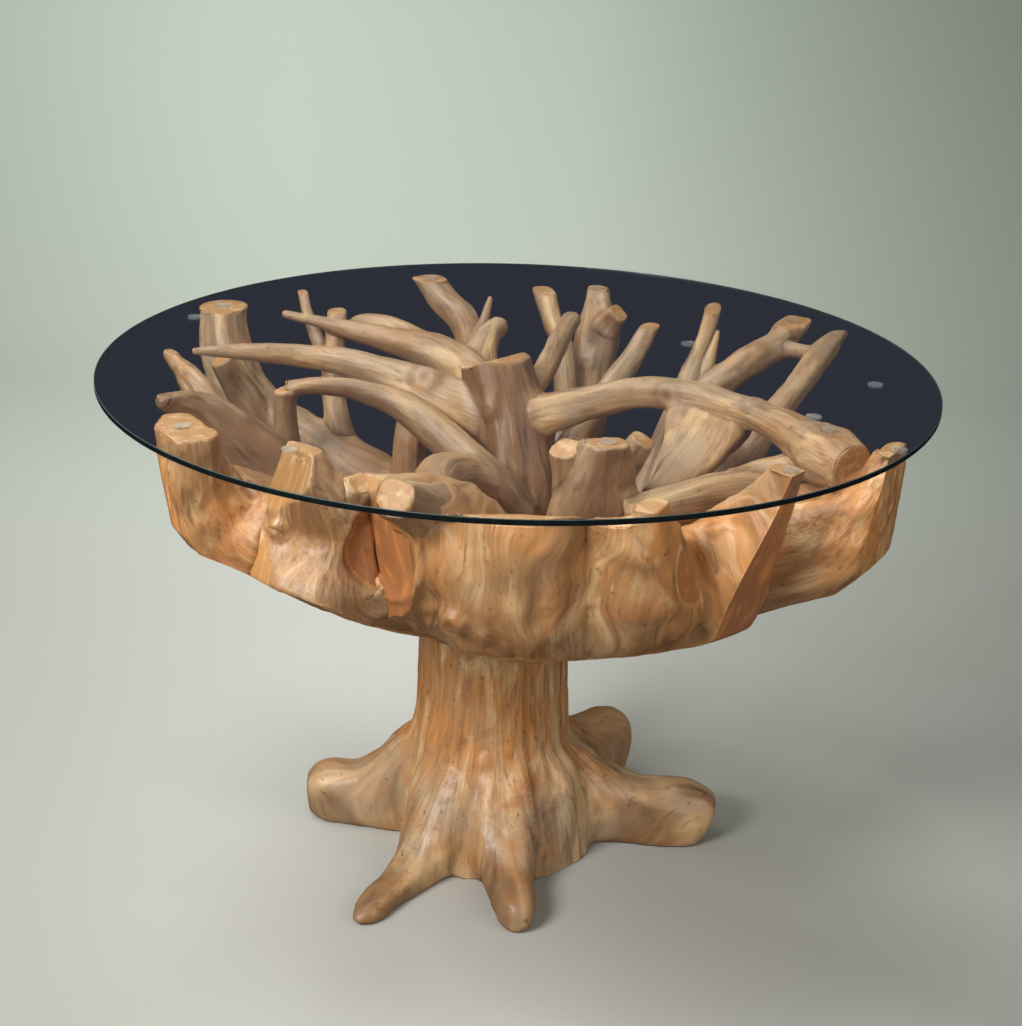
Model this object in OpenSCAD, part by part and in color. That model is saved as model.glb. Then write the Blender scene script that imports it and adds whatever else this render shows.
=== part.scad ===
// Round dining table: a clear glass top lying loose on a crown of natural roots,
// which is dowelled together over a flared root stump.
// Millimetres, +Z up, origin on the floor under the centre of the glass.

/* [Glass top] */
// Height of the upper face of the glass above the floor
table_h = 760; // [720:5:800]
// Diameter of the round glass
glass_d = 1200; // [1160:10:1300]
// Thickness of the glass
glass_t = 8; // [6:1:12]
// Width of the ground bevel on both arrises of the glass
glass_bevel = 1.2; // [0.5:0.1:2.5]

/* [Clear discs and floor pads] */
// Diameter of the clear discs between the root ends and the glass
disc_d = 22; // [14:1:24]
// Thickness of the clear discs
disc_t = 3; // [2:0.5:5]
// Diameter of the felt pads under the feet
pad_d = 22; // [16:1:24]
// Thickness of the felt pads
pad_t = 2; // [1:0.5:4]
// Diameter of the nail that holds a pad
nail_d = 3; // [2:0.5:4]
// Length of the nail inside the foot
nail_l = 14; // [8:1:18]

/* [Stump] */
// Radius of the trunk where the crown sits on it
trunk_top_r = 112; // [104:1:118]
// Radius of the trunk halfway up
trunk_waist_r = 116; // [104:1:124]
// Radius of the trunk at the floor, between the feet
trunk_foot_r = 152; // [135:1:165]
// Height at which the feet leave the trunk
foot_rise = 175; // [150:5:200]

/* [Crown] */
// Height of the crown from its seat on the trunk to the clear discs
crown_h = 390; // [376:1:404]
// Radius of the crown where it sits on the trunk
hub_r = 120; // [118:1:130]
// Radius of the sawn top of the central stem
stem_r = 50; // [42:1:56]
// Depth of the sawn top of the stem below the clear discs
stem_drop = 6; // [2:1:24]
// How far the front roots stand proud of the carved bowl
front_proud = 8; // [2:1:14]

/* [Joinery] */
// Diameter of the dowels that hold the roots
dowel_d = 10; // [8:1:12]
// Length of the dowels
dowel_l = 56; // [40:2:64]
// Diameter of the three rods between crown and trunk
rod_d = 12; // [10:1:16]
// Length of the three rods
rod_l = 160; // [120:5:180]
// Radius of the circle on which the rods stand
rod_ring_r = 62; // [50:1:75]
// Gap left between two fitted pieces of wood
fit_gap = 0.3; // [0.2:0.05:0.5]
// Gap round a dowel, a rod or a nail in its hole
pin_gap = 0.2; // [0.1:0.05:0.3]

/* [Hidden] */

// Heights of the planes that the pieces meet at
glass_under = table_h - glass_t;
seat_z = glass_under - disc_t;
crown_z = seat_z - crown_h;

// The roots are drawn for a crown of the first height. In a higher or lower crown, what lies above the
// second height keeps its depth below the clear discs, and what lies below it stretches.
DRAWN_AT = [390, 340];
function lifted(h) = h + (crown_h - DRAWN_AT[0]) * min(h / DRAWN_AT[1], 1);
function in_crown(v) = [v.x, v.y, lifted(v.z)];

// How far a cut runs past the wood on every side
beyond = 700;

// Place of the trunk in plan, how far its base spreads off its axis, and the middle and the tilt of the
// bowl that the underside of the crown is carved to
trunk_x = -25;
base_off = [14, -32];
bowl_at = [-14, -40];
bowl_tilt = [-1.2, 3, 0];

// Clear discs stuck under the glass with no root below them
spare_discs_at = [[400, -186], [510, -32], [256, 145], [-505, 205]];

// Underside of the crown in section, as distance from the middle of the bowl and height above the trunk
BOWL = [
    [hub_r, 4], [180, 42], [260, 82], [340, 118], [410, 152], [466, 188], [520, 216], [550, 252], [560, 430]
];

// Rounded end of a toe, and how much wider a foot is halfway out than at its toe
toe_l = 28;
foot_flare = 12;

// Feet, each as bearing from the trunk, reach, width of the toe and height of the toe
FEET = [
    [178, 291, 80, 84],
    [-121, 353, 46, 34],
    [-81, 322, 48, 56],
    [-5, 352, 82, 90],
    [40, 280, 76, 120],
    [108, 285, 66, 74]
];

// Roots of the crown in the order in which they are fitted: each is coped round all before it.
// A row holds the stations of the root, how square its section is, how proud of the carved bowl it
// stands (or raw, where it isn't carved), and the share of its length at which its dowel is centred.
// A station is x, y, height above the trunk, half width and half height.
raw = -1;
flush = 0;
tip = DRAWN_AT[0] + 12;
ROOTS = [
    ["stem", [
        [-25, 0, -8, hub_r, hub_r], [-24, -2, 40, 134, 132], [-12, -5, 110, 112, 106],
        [0, -5, 175, 80, 76],
        [4, 5, 230, 60, 58], [-12, 30, 310, 53, 50],
        [-36, 54, DRAWN_AT[0] - stem_drop, stem_r, stem_r - 10]],
        2, raw, 0],
    ["slab_left", [
        [-60, -60, 85, 60, 55], [-200, -160, 134, 78, 74], [-320, -232, 180, 92, 90],
        [-408, -286, 244, 82, 88], [-432, -302, 318, 66, 58], [-432, -306, tip, 56, 28]],
        4, flush, 0.06],
    ["slab_right_end", [
        [40, -30, 85, 60, 55], [190, -120, 136, 78, 70], [320, -205, 194, 84, 86],
        [432, -262, 246, 86, 74], [482, -292, 326, 58, 44], [494, -312, tip, 26, 20]],
        3, flush, 0.07],
    ["slab_right", [
        [40, -80, 65, 60, 52], [150, -210, 95, 70, 68], [236, -304, 160, 62, 88],
        [298, -362, 250, 44, 84], [334, -388, 334, 24, 50], [344, -398, tip, 15, 26]],
        3, front_proud, 0.08],
    ["lobe_front_right", [
        [55, -80, 55, 60, 50], [100, -215, 80, 66, 70], [134, -318, 145, 72, 84],
        [148, -368, 240, 70, 82], [146, -400, 348, 60, 46]],
        2.6, front_proud, 0.4],
    ["lobe_front", [
        [30, -90, 55, 60, 50], [40, -220, 85, 74, 72], [20, -332, 155, 90, 92],
        [2, -388, 245, 94, 88], [-2, -418, 352, 82, 48]],
        2.6, front_proud, 0.29],
    ["lobe_front_left", [
        [-20, -110, 90, 60, 60], [-35, -240, 160, 76, 84], [-104, -346, 250, 74, 94],
        [-180, -414, 284, 64, 80]],
        2.2, front_proud, 0.06],
    ["slab_rear_left", [
        [-60, 15, 85, 56, 55], [-200, 60, 140, 52, 78], [-330, 130, 192, 48, 66],
        [-425, 205, 250, 42, 46], [-462, 240, 325, 38, 38], [-474, 285, tip, 38, 34]],
        2.8, raw, 0.1],
    ["root_horn", [
        [-70, -15, 75, 52, 50], [-220, -32, 112, 58, 52], [-340, -42, 175, 52, 54],
        [-415, -38, 262, 40, 44], [-460, -22, 345, 24, 26], [-490, 5, 372, 14, 15],
        [-513, 30, 386, 6, 7]],
        2.2, flush, 0.08],
    ["lobe_left", [
        [-180, -95, 130, 46, 46], [-290, -125, 205, 46, 56], [-380, -135, 285, 40, 58],
        [-435, -145, 350, 26, 34], [-478, -182, 382, 10, 12]],
        2.4, flush, 0.27],
    ["block_left", [
        [-70, -122, 106, 46, 46], [-160, -245, 142, 74, 70], [-258, -350, 186, 88, 84],
        [-258, -355, 290, 72, 36], [-286, -384, tip, 28, 28]],
        3.5, flush, 0.165],
    ["slab_rear", [
        [-30, 40, 70, 56, 50], [-58, 160, 100, 58, 48], [-75, 280, 160, 46, 42], [-80, 365, 235, 32, 32]],
        2.4, flush, 0.22],
    ["slab_rear_middle", [
        [-5, 40, 75, 56, 50], [22, 160, 100, 60, 48], [60, 255, 150, 52, 46], [95, 325, 212, 40, 38]],
        2.4, flush, 0.22],
    ["slab_right_rear", [
        [40, 10, 70, 56, 50], [150, 40, 100, 56, 46], [240, 72, 145, 46, 40], [300, 95, 195, 34, 32]],
        2.4, flush, 0.17],
    ["block_front_right", [
        [85, -225, 120, 64, 56], [100, -262, 210, 60, 50], [106, -290, 300, 54, 40],
        [120, -318, tip, 21, 18]],
        3.4, raw, 0.27],
    ["branch_front_right", [
        [214, -385, 185, 30, 34], [202, -420, 252, 29, 30], [178, -436, 318, 23, 24],
        [168, -440, 356, 19, 19]],
        3.5, front_proud, 0.69],
    ["stub_front_right", [
        [84, -270, 296, 28, 26], [72, -286, 336, 22, 21], [64, -300, 376, 19, 18]],
        3, raw, 0.58],
    ["stub_front_left", [
        [-236, -352, 286, 32, 30], [-212, -374, 326, 25, 22], [-196, -386, 352, 16, 15]],
        3, flush, 0.46],
    ["ridge_front_left", [
        [-40, -240, 200, 32, 34], [-80, -340, 285, 28, 30], [-125, -428, 342, 28, 26],
        [-144, -474, 370, 25, 20]],
        3, flush, 0.655],
    ["root_hub_left", [
        [-20, -45, 200, 40, 40], [-85, -110, 258, 34, 36], [-112, -190, 270, 32, 34],
        [-98, -280, 262, 26, 28]],
        2.2, raw, 0.08],
    ["root_ring", [
        [95, -225, 235, 28, 28], [128, -215, 300, 24, 24], [152, -230, 340, 20, 20],
        [168, -238, 370, 15, 16]],
        2.4, raw, 0.07],
    ["root_sharp_front", [
        [-30, 36, 292, 44, 44], [-100, 48, 318, 36, 38], [-177, 74, 343, 28, 28], [-255, 92, 360, 21, 21],
        [-330, 100, 368, 16, 16], [-416, 78, 377, 10, 10], [-478, 53, 383, 5, 5]],
        2.2, raw, 0.09],
    ["root_sharp_rear", [
        [-18, 30, 222, 46, 46], [-65, 140, 305, 42, 42], [-120, 185, 345, 32, 31],
        [-200, 200, 367, 22, 21],
        [-290, 227, 378, 13, 12], [-371, 262, 385, 4, 4]],
        2.2, raw, 0.05],
    ["stub_blunt", [
        [-62, 135, 300, 32, 32], [-60, 195, 345, 27, 26], [-48, 238, 368, 19, 19],
        [-31, 266, 374, 15, 15]],
        2.4, raw, 0.27],
    ["root_hump", [
        [-100, 190, 328, 26, 26], [-180, 246, 360, 26, 22], [-240, 272, 370, 19, 15],
        [-268, 282, 364, 12, 10]],
        2.2, raw, 0.16],
    ["root_arch", [
        [12, -70, 185, 26, 26], [-45, -66, 250, 26, 26], [-108, -20, 288, 26, 26],
        [-172, 20, 320, 21, 21],
        [-233, 30, 338, 15, 15], [-290, 24, 345, 12, 12], [-340, 20, 342, 12, 12]],
        2.2, raw, 0.21],
    ["leg_arch", [
        [-300, 4, 160, 26, 24], [-334, 13, 235, 21, 20], [-342, 16, 290, 19, 17],
        [-342, 18, 338, 17, 15]],
        2.6, raw, 0.1],
    ["post_rear_left", [
        [-262, 100, 200, 26, 24], [-275, 130, 245, 20, 20], [-286, 168, 292, 18, 18],
        [-290, 222, 340, 17, 17], [-292, 284, tip, 14, 14]],
        2.4, raw, 0.23],
    ["stick_rear_left", [
        [-288, 190, 300, 12, 12], [-322, 270, 338, 11, 11], [-348, 345, 368, 9, 9],
        [-364, 400, tip, 8, 8]],
        2.4, raw, 0.11],
    ["strut_left", [
        [-375, 140, 190, 26, 26], [-402, 142, 250, 25, 25], [-430, 146, 298, 24, 24],
        [-455, 140, 345, 18, 18]],
        2.6, raw, 0.37],
    ["root_forked", [
        [-72, 335, 205, 30, 30], [-78, 395, 285, 25, 25], [-95, 432, 335, 24, 22],
        [-134, 470, 365, 26, 19],
        [-166, 510, tip, 28, 15]],
        2.6, raw, 0.12],
    ["spike_rear", [
        [-74, 390, 302, 14, 14], [-60, 384, 350, 9, 9], [-51, 400, 384, 4, 4]],
        2.2, raw, 0.18],
    ["branch_stem", [
        [-12, 36, 330, 22, 22], [28, 88, 345, 18, 18], [52, 170, 360, 16, 17], [68, 250, 372, 16, 16],
        [82, 322, 374, 15, 15]],
        2.2, raw, 0.18],
    ["post_rear", [
        [68, 235, 140, 42, 38], [104, 312, 210, 42, 38], [118, 365, 278, 38, 34], [128, 404, 334, 35, 30],
        [128, 445, 370, 20, 19], [128, 476, tip, 15, 15]],
        2.6, raw, 0.21],
    ["stick_tilted", [
        [88, 272, 195, 24, 24], [78, 303, 270, 20, 20], [72, 328, 318, 17, 17], [54, 374, 354, 16, 16],
        [33, 462, tip, 17, 14]],
        2.4, raw, 0.14],
    ["stub_rear", [
        [126, 390, 315, 24, 24], [146, 385, 350, 19, 20], [162, 374, 374, 16, 15]],
        3.4, raw, 0.49],
    ["stick_middle", [
        [45, 40, 190, 28, 28], [108, 112, 275, 20, 20], [144, 154, 318, 18, 18], [180, 206, 355, 16, 16],
        [212, 258, tip, 13, 12]],
        2.2, raw, 0.02],
    ["root_right_rear", [
        [205, 62, 150, 32, 30], [248, 118, 235, 28, 28], [286, 165, 300, 25, 25], [345, 196, 342, 22, 22],
        [410, 248, 368, 25, 19], [450, 324, tip, 22, 16]],
        2.4, raw, 0.08],
    ["stick_right", [
        [185, 55, 140, 26, 26], [225, 122, 235, 19, 19], [262, 178, 322, 15, 15], [295, 278, 362, 13, 13],
        [321, 398, tip, 13, 12]],
        2.2, raw, 0.37],
    ["stick_right_small", [
        [284, 180, 312, 13, 13], [298, 204, 355, 9, 9], [310, 238, 384, 5, 5]],
        2.2, raw, 0.2],
    ["limb_right", [
        [-12, 24, 292, 28, 28], [60, 12, 322, 30, 28], [118, 24, 336, 25, 24], [186, 20, 353, 22, 22],
        [256, -24, 361, 24, 21], [330, -104, 364, 22, 20], [384, -190, 362, 28, 27],
        [412, -238, 360, 38, 36],
        [440, -278, 354, 31, 31]],
        2.8, raw, 0.09],
    ["plate_right", [
        [186, -240, 284, 18, 16], [236, -160, 310, 40, 15], [268, -84, 334, 60, 16],
        [280, -30, 346, 60, 14]],
        3, raw, 0.79],
    ["log_low", [
        [146, -330, 296, 22, 22], [200, -296, 300, 24, 22], [262, -248, 298, 27, 25],
        [330, -205, 290, 24, 24],
        [372, -232, 280, 20, 20]],
        2.8, raw, 0.79],
    ["arm_low", [
        [425, -250, 335, 22, 20], [386, -205, 326, 20, 17], [336, -190, 312, 18, 16],
        [296, -208, 302, 16, 15]],
        2.6, raw, 0.23],
    ["post_diagonal", [
        [242, 62, 142, 28, 28], [318, -4, 245, 25, 25], [368, 30, 305, 21, 21], [415, 88, 340, 18, 18],
        [456, 162, 366, 20, 19], [490, 228, 380, 15, 13], [512, 258, 384, 6, 5]],
        2.6, raw, 0.06],
    ["bridge_right", [
        [402, 238, 362, 14, 14], [432, 216, 366, 11, 11], [468, 190, 366, 14, 13]],
        2.2, raw, 0.32],
    ["post_hub_left", [
        [-150, 24, 125, 30, 30], [-160, 34, 205, 25, 24], [-158, 44, 265, 24, 24],
        [-148, 56, 322, 26, 24]],
        2.4, raw, 0.31]
];

// Flat saw cuts across roots, each as a point on the cut and the way that it faces
CUTS = [
    ["slab_left", [-467, -305, 390], [-0.96, 0.05, -0.26]],
    ["slab_right", [350, -404, 385], [0.74, -0.6, -0.3]],
    ["lobe_front_left", [-152, -420, 284], [-0.78, -0.6, -0.12]],
    ["block_left", [-292, -372, 330], [-0.8, -0.5, 0.3]],
    ["branch_front_right", [208, -446, 290], [0.84, -0.5, 0.1]],
    ["lobe_front", [0, -458, 346], [0, 0.6, 0.8]],
    ["lobe_front_right", [148, -440, 344], [-0.1, 0.6, 0.8]]
];

// Roots whose sawn tops carry a clear disc, each with the station that the disc lies at
BEARING = [
    ["slab_left", 5], ["slab_right_end", 5], ["slab_right", 5], ["block_left", 4], ["block_front_right", 3],
    ["slab_rear_left", 5], ["root_forked", 4], ["post_rear", 5], ["root_right_rear", 5], ["limb_right", 7]
];

// Sides of a root's section, and least number of straight stretches along a root
root_sides = 12;
root_steps = 9;

function row_of(name) = [for (i = [0:len(ROOTS) - 1]) if (ROOTS[i][0] == name) i][0];
function unit(v) = v / norm(v);
function place(q) = [q.x, q.y, q.z];

// Smooth curve through all stations, with t from 0 at the first to 1 at the last
function along(p, t) =
    let (n = len(p) - 1, s = max(0, min(floor(t * n), n - 1)), u = t * n - s,
        a = p[max(s - 1, 0)], b = p[s], c = p[s + 1], d = p[min(s + 2, n)])
    0.5 * (2 * b + (c - a) * u + (2 * a - 5 * b + 4 * c - d) * u * u + (3 * b - 3 * c + d - a) * u * u * u);

function heading(p, t) = unit(place(along(p, min(t + 0.02, 1))) - place(along(p, max(t - 0.02, 0))));

// Level direction across a root, square to the line between its ends in plan
function across(p) =
    let (d = place(p[len(p) - 1]) - place(p[0]), run = norm([d.x, d.y]))
    run < 1 ? [0, 1, 0] : [-d.y, d.x, 0] / run;

// Outline of the section at t, grown all round and past the ends by grow
function ring(p, t, square, grow, n) =
    let (q = along(p, t), f = heading(p, t), side = across(p),
        a = unit(side - (side * f) * f), b = cross(f, a),
        c = place(q) + f * (t == 0 ? -grow : t == 1 ? grow : 0))
    [for (k = [0:n - 1])
        let (g = 360 * (k + 0.5) / n,
            m = pow(pow(abs(cos(g)), square) + pow(abs(sin(g)), square), -1 / square))
        c + a * (q[3] + grow) * cos(g) * m + b * (q[4] + grow) * sin(g) * m];

// One closed skin through the sections of a root, from its first station to its last
module root(p, square, grow = 0, n = root_sides, crown = false) {
    steps = max(root_steps, 2 * len(p) - 2);
    points = [for (i = [0:steps], v = ring(p, i / steps, square, grow, n)) crown ? in_crown(v) : v];
    ends = [[for (k = [0:n - 1]) k], [for (k = [n - 1:-1:0]) steps * n + k]];
    walls = [for (i = [0:steps - 1], k = [0:n - 1])
        let (a = i * n + k, b = i * n + (k + 1) % n) each [[a, b + n, b], [a, a + n, b + n]]];
    polyhedron(points, concat(ends, walls));
}

// One root of the crown with its saw cuts, grown all round by grow
module root_row(i, grow = 0) difference() {
    root(ROOTS[i][1], ROOTS[i][2], grow, crown = true);
    for (c = CUTS) if (c[0] == ROOTS[i][0]) translate(in_crown(c[1]) + grow * unit(c[2]))
        rotate([0, acos(unit(c[2]).z), atan2(c[2].y, c[2].x)])
            translate([-beyond, -beyond, 0]) cube(2 * beyond);
}

// Everything between the trunk and the clear discs
module crown_space() translate([-beyond, -beyond, 0]) cube([2 * beyond, 2 * beyond, crown_h]);

// Bowl to which the underside of the crown is carved
module carved_bowl(proud) {
    side = [for (b = BOWL) [b.x + proud, lifted(b.y)]];
    translate([bowl_at.x, bowl_at.y, -proud]) rotate(bowl_tilt) rotate_extrude($fn = 36)
        polygon(concat([[0, 0]], side, [[0, side[len(side) - 1].y]]));
}

// Gathers carved wood into one solid at its own size, ready for drilling
module in_one_piece() resize([0, 0, 0]) children();

// Drilled hole about the origin along Z
module drilled(d, l) cylinder(d = d, h = l, center = true, $fn = 48);

// Stands its children along a root, at the share t of its length
module at_dowel(p, t) {
    from = in_crown(place(along(p, t - 0.02)));
    to = in_crown(place(along(p, t + 0.02)));
    way = unit(to - from);
    translate(in_crown(place(along(p, t)))) rotate([0, acos(way.z), atan2(way.y, way.x)]) children();
}

module at_dowels() for (r = ROOTS) if (r[4] > 0) at_dowel(r[1], r[4]) children();

module dowel_holes() at_dowels() drilled(dowel_d + 2 * pin_gap, dowel_l + 2 * pin_gap);

// Places of the rods round the middle of the trunk
module at_rods()
    for (g = [90, 210, 330]) translate([trunk_x + rod_ring_r * cos(g), rod_ring_r * sin(g), 0]) children();

module rod_holes() at_rods() drilled(rod_d + 2 * pin_gap, rod_l + 2 * pin_gap);

// One fitted root, coped round every root before it
module fitted(name, tone) {
    i = row_of(name);
    carve = ROOTS[i][3];
    color(tone) translate([0, 0, crown_z]) difference() {
        in_one_piece() difference() {
            intersection() {
                root_row(i);
                crown_space();
                if (carve > raw) carved_bowl(carve);
            }
            for (j = [0:1:i - 1]) root_row(j, fit_gap);
        }
        dowel_holes();
        rod_holes();
    }
}

// Middle of the clear disc on a root, at station k or where the root passes through the plane of the discs
function seat_point(name, k) =
    let (p = ROOTS[row_of(name)][1], a = p[k - 1], b = p[k], top = DRAWN_AT[0],
        t = b.z > top ? (top - a.z) / (b.z - a.z) : 1)
    [a.x + (b.x - a.x) * t, a.y + (b.y - a.y) * t];

module glass_top() {
    r = glass_d / 2;
    b = glass_bevel;
    color("darkslategray", 0.5) translate([0, 0, glass_under]) rotate_extrude($fn = 180)
        polygon([[0, 0], [r - b, 0], [r, b], [r, glass_t - b], [r - b, glass_t], [0, glass_t]]);
}

module clear_disc(at) translate([at.x, at.y, seat_z]) cylinder(d = disc_d, h = disc_t, $fn = 48);

module spare_discs() color("white") for (at = spare_discs_at) clear_disc(at);

module bearing_discs() color("white") for (b = BEARING) clear_disc(seat_point(b[0], b[1]));

// Stations of a foot from inside the trunk to its toe
function foot(f) =
    let (d = [cos(f[0]), sin(f[0]), 0], w = f[2] / 2, h = f[3] / 2,
        mid = 0.55 * trunk_waist_r + 0.45 * f[1])
    [for (s = [
        [30, foot_rise, 66, 62], [trunk_waist_r - 8, 0.4 * foot_rise, 66, 80],
        [mid, 0.7 * h + 4, w + foot_flare, h + 1.3 * foot_flare],
        [f[1] - toe_l, 0.8 * h, w + 2, 1.2 * h], [f[1], 0.7 * h, 0.6 * w, 0.62 * h]])
        concat([trunk_x, 0, s[1]] + d * s[0], [s[2], s[3]])];

// Middle of the pad under a toe
function pad_at(f) = [trunk_x, 0, 0] + (f[1] - toe_l - pad_d) * [cos(f[0]), sin(f[0]), 0];

module foot_stump() {
    trunk = [
        [trunk_x + base_off.x, base_off.y, -20, trunk_foot_r, trunk_foot_r],
        [trunk_x + base_off.x, 0.8 * base_off.y, 60, trunk_foot_r - 6, trunk_foot_r - 6],
        [trunk_x, -6, 140, trunk_waist_r + 12, trunk_waist_r + 12],
        [trunk_x, 0, 220, trunk_waist_r, trunk_waist_r],
        [trunk_x, 0, crown_z + 20, trunk_top_r, trunk_top_r]];
    color("peru") difference() {
        in_one_piece() intersection() {
            union() {
                root(trunk, 2, n = 20);
                for (f = FEET) root(foot(f), 2.6);
            }
            translate([-beyond, -beyond, pad_t]) cube([2 * beyond, 2 * beyond, crown_z - pad_t]);
        }
        translate([0, 0, crown_z]) rod_holes();
        for (f = FEET) translate(pad_at(f)) drilled(nail_d + 2 * pin_gap, 2 * (pad_t + nail_l + pin_gap));
    }
}

// One nailed pad under each toe
module floor_pads() {
    color("dimgray") for (f = FEET) translate(pad_at(f)) {
        cylinder(d = pad_d, h = pad_t, $fn = 48);
        cylinder(d = nail_d, h = pad_t + nail_l, $fn = 24);
    }
}

module crown_rods() {
    color("silver") translate([0, 0, crown_z]) at_rods()
        cylinder(d = rod_d, h = rod_l, center = true, $fn = 48);
}

module root_dowels() {
    color("burlywood") translate([0, 0, crown_z]) at_dowels()
        cylinder(d = dowel_d, h = dowel_l, center = true, $fn = 48);
}

module stem() fitted("stem", "peru");
module slab_left() fitted("slab_left", "peru");
module slab_right_end() fitted("slab_right_end", "peru");
module slab_right() fitted("slab_right", "sienna");
module lobe_front_right() fitted("lobe_front_right", "peru");
module lobe_front() fitted("lobe_front", "chocolate");
module lobe_front_left() fitted("lobe_front_left", "peru");
module slab_rear_left() fitted("slab_rear_left", "burlywood");
module root_horn() fitted("root_horn", "tan");
module lobe_left() fitted("lobe_left", "burlywood");
module block_left() fitted("block_left", "rosybrown");
module slab_rear() fitted("slab_rear", "tan");
module slab_rear_middle() fitted("slab_rear_middle", "peru");
module slab_right_rear() fitted("slab_right_rear", "tan");
module block_front_right() fitted("block_front_right", "darkkhaki");
module branch_front_right() fitted("branch_front_right", "sienna");
module stub_front_right() fitted("stub_front_right", "darkkhaki");
module stub_front_left() fitted("stub_front_left", "tan");
module ridge_front_left() fitted("ridge_front_left", "burlywood");
module root_hub_left() fitted("root_hub_left", "burlywood");
module root_ring() fitted("root_ring", "tan");
module root_sharp_front() fitted("root_sharp_front", "burlywood");
module root_sharp_rear() fitted("root_sharp_rear", "tan");
module stub_blunt() fitted("stub_blunt", "burlywood");
module root_hump() fitted("root_hump", "tan");
module root_arch() fitted("root_arch", "burlywood");
module leg_arch() fitted("leg_arch", "tan");
module post_rear_left() fitted("post_rear_left", "tan");
module stick_rear_left() fitted("stick_rear_left", "burlywood");
module strut_left() fitted("strut_left", "darkkhaki");
module root_forked() fitted("root_forked", "tan");
module spike_rear() fitted("spike_rear", "tan");
module branch_stem() fitted("branch_stem", "burlywood");
module stick_tilted() fitted("stick_tilted", "tan");
module post_rear() fitted("post_rear", "tan");
module stub_rear() fitted("stub_rear", "darkkhaki");
module stick_middle() fitted("stick_middle", "burlywood");
module root_right_rear() fitted("root_right_rear", "tan");
module stick_right() fitted("stick_right", "tan");
module stick_right_small() fitted("stick_right_small", "burlywood");
module limb_right() fitted("limb_right", "burlywood");
module plate_right() fitted("plate_right", "burlywood");
module log_low() fitted("log_low", "darkkhaki");
module arm_low() fitted("arm_low", "tan");
module post_diagonal() fitted("post_diagonal", "burlywood");
module bridge_right() fitted("bridge_right", "tan");
module post_hub_left() fitted("post_hub_left", "sienna");

glass_top();
spare_discs();
bearing_discs();
floor_pads();
foot_stump();
crown_rods();
root_dowels();
stem();
slab_left();
slab_right_end();
slab_right();
lobe_front_right();
lobe_front();
lobe_front_left();
slab_rear_left();
root_horn();
lobe_left();
block_left();
slab_rear();
slab_rear_middle();
slab_right_rear();
block_front_right();
branch_front_right();
stub_front_right();
stub_front_left();
ridge_front_left();
root_hub_left();
root_ring();
root_sharp_front();
root_sharp_rear();
stub_blunt();
root_hump();
root_arch();
leg_arch();
post_rear_left();
stick_rear_left();
strut_left();
root_forked();
spike_rear();
branch_stem();
stick_tilted();
post_rear();
stub_rear();
stick_middle();
root_right_rear();
stick_right();
stick_right_small();
limb_right();
plate_right();
log_low();
arm_low();
post_diagonal();
bridge_right();
post_hub_left();
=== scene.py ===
"""Looks of a round dining table: a loose glass top on a crown of teak roots over a flared stump.

Shapes are worked out in millimetres, with the floor at height 0 and the middle of the glass over the
origin, and are put into the meshes in metres.
"""

import logging
import math
from dataclasses import dataclass, field
from enum import Enum

import bpy
import numpy as np
from mathutils import Matrix


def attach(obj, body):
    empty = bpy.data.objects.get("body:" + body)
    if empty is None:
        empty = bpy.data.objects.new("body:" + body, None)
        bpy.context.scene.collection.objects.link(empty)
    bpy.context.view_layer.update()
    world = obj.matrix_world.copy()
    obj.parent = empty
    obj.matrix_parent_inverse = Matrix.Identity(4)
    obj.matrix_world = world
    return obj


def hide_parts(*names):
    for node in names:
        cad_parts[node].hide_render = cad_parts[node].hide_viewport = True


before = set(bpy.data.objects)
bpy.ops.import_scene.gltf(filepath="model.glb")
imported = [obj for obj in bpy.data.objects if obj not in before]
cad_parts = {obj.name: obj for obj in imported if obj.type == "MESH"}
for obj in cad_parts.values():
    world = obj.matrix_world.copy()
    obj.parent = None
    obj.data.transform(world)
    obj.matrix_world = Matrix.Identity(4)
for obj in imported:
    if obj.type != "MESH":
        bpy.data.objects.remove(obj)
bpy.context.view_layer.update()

log = logging.getLogger("root_table")
MM = 0.001

CROWN_Z = 359.0        # top of the trunk, where the crown sits
SEAT_Z = 749.0         # sawn root tips, under the clear discs
TRUNK_X = -25.0        # axis of the trunk
PAD_T = 2.0            # thickness of the felt pads
BOWL_AT = (-14.0, -40.0)
BOWL_TILT = (math.radians(-1.2), math.radians(3.0))
BOWL = ((0, 0), (120, 4), (180, 42), (260, 82), (340, 118), (410, 152), (466, 188), (520, 216),
        (550, 252), (560, 430))


class Carve(Enum):
    """How far a root stands proud of the carved bowl, in millimetres; RAW isn't carved."""

    RAW = -1.0
    FLUSH = 0.0
    PROUD = 8.0


def unit(v: np.ndarray) -> np.ndarray:
    """Vectors of length one along the last axis."""
    return v / np.maximum(np.linalg.norm(v, axis=-1, keepdims=True), 1e-9)


def ease(x: np.ndarray, low: float, high: float) -> np.ndarray:
    """Smooth step from 0 at low to 1 at high."""
    u = np.clip((x - low) / (high - low), 0, 1)
    return u * u * (3 - 2 * u)


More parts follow.
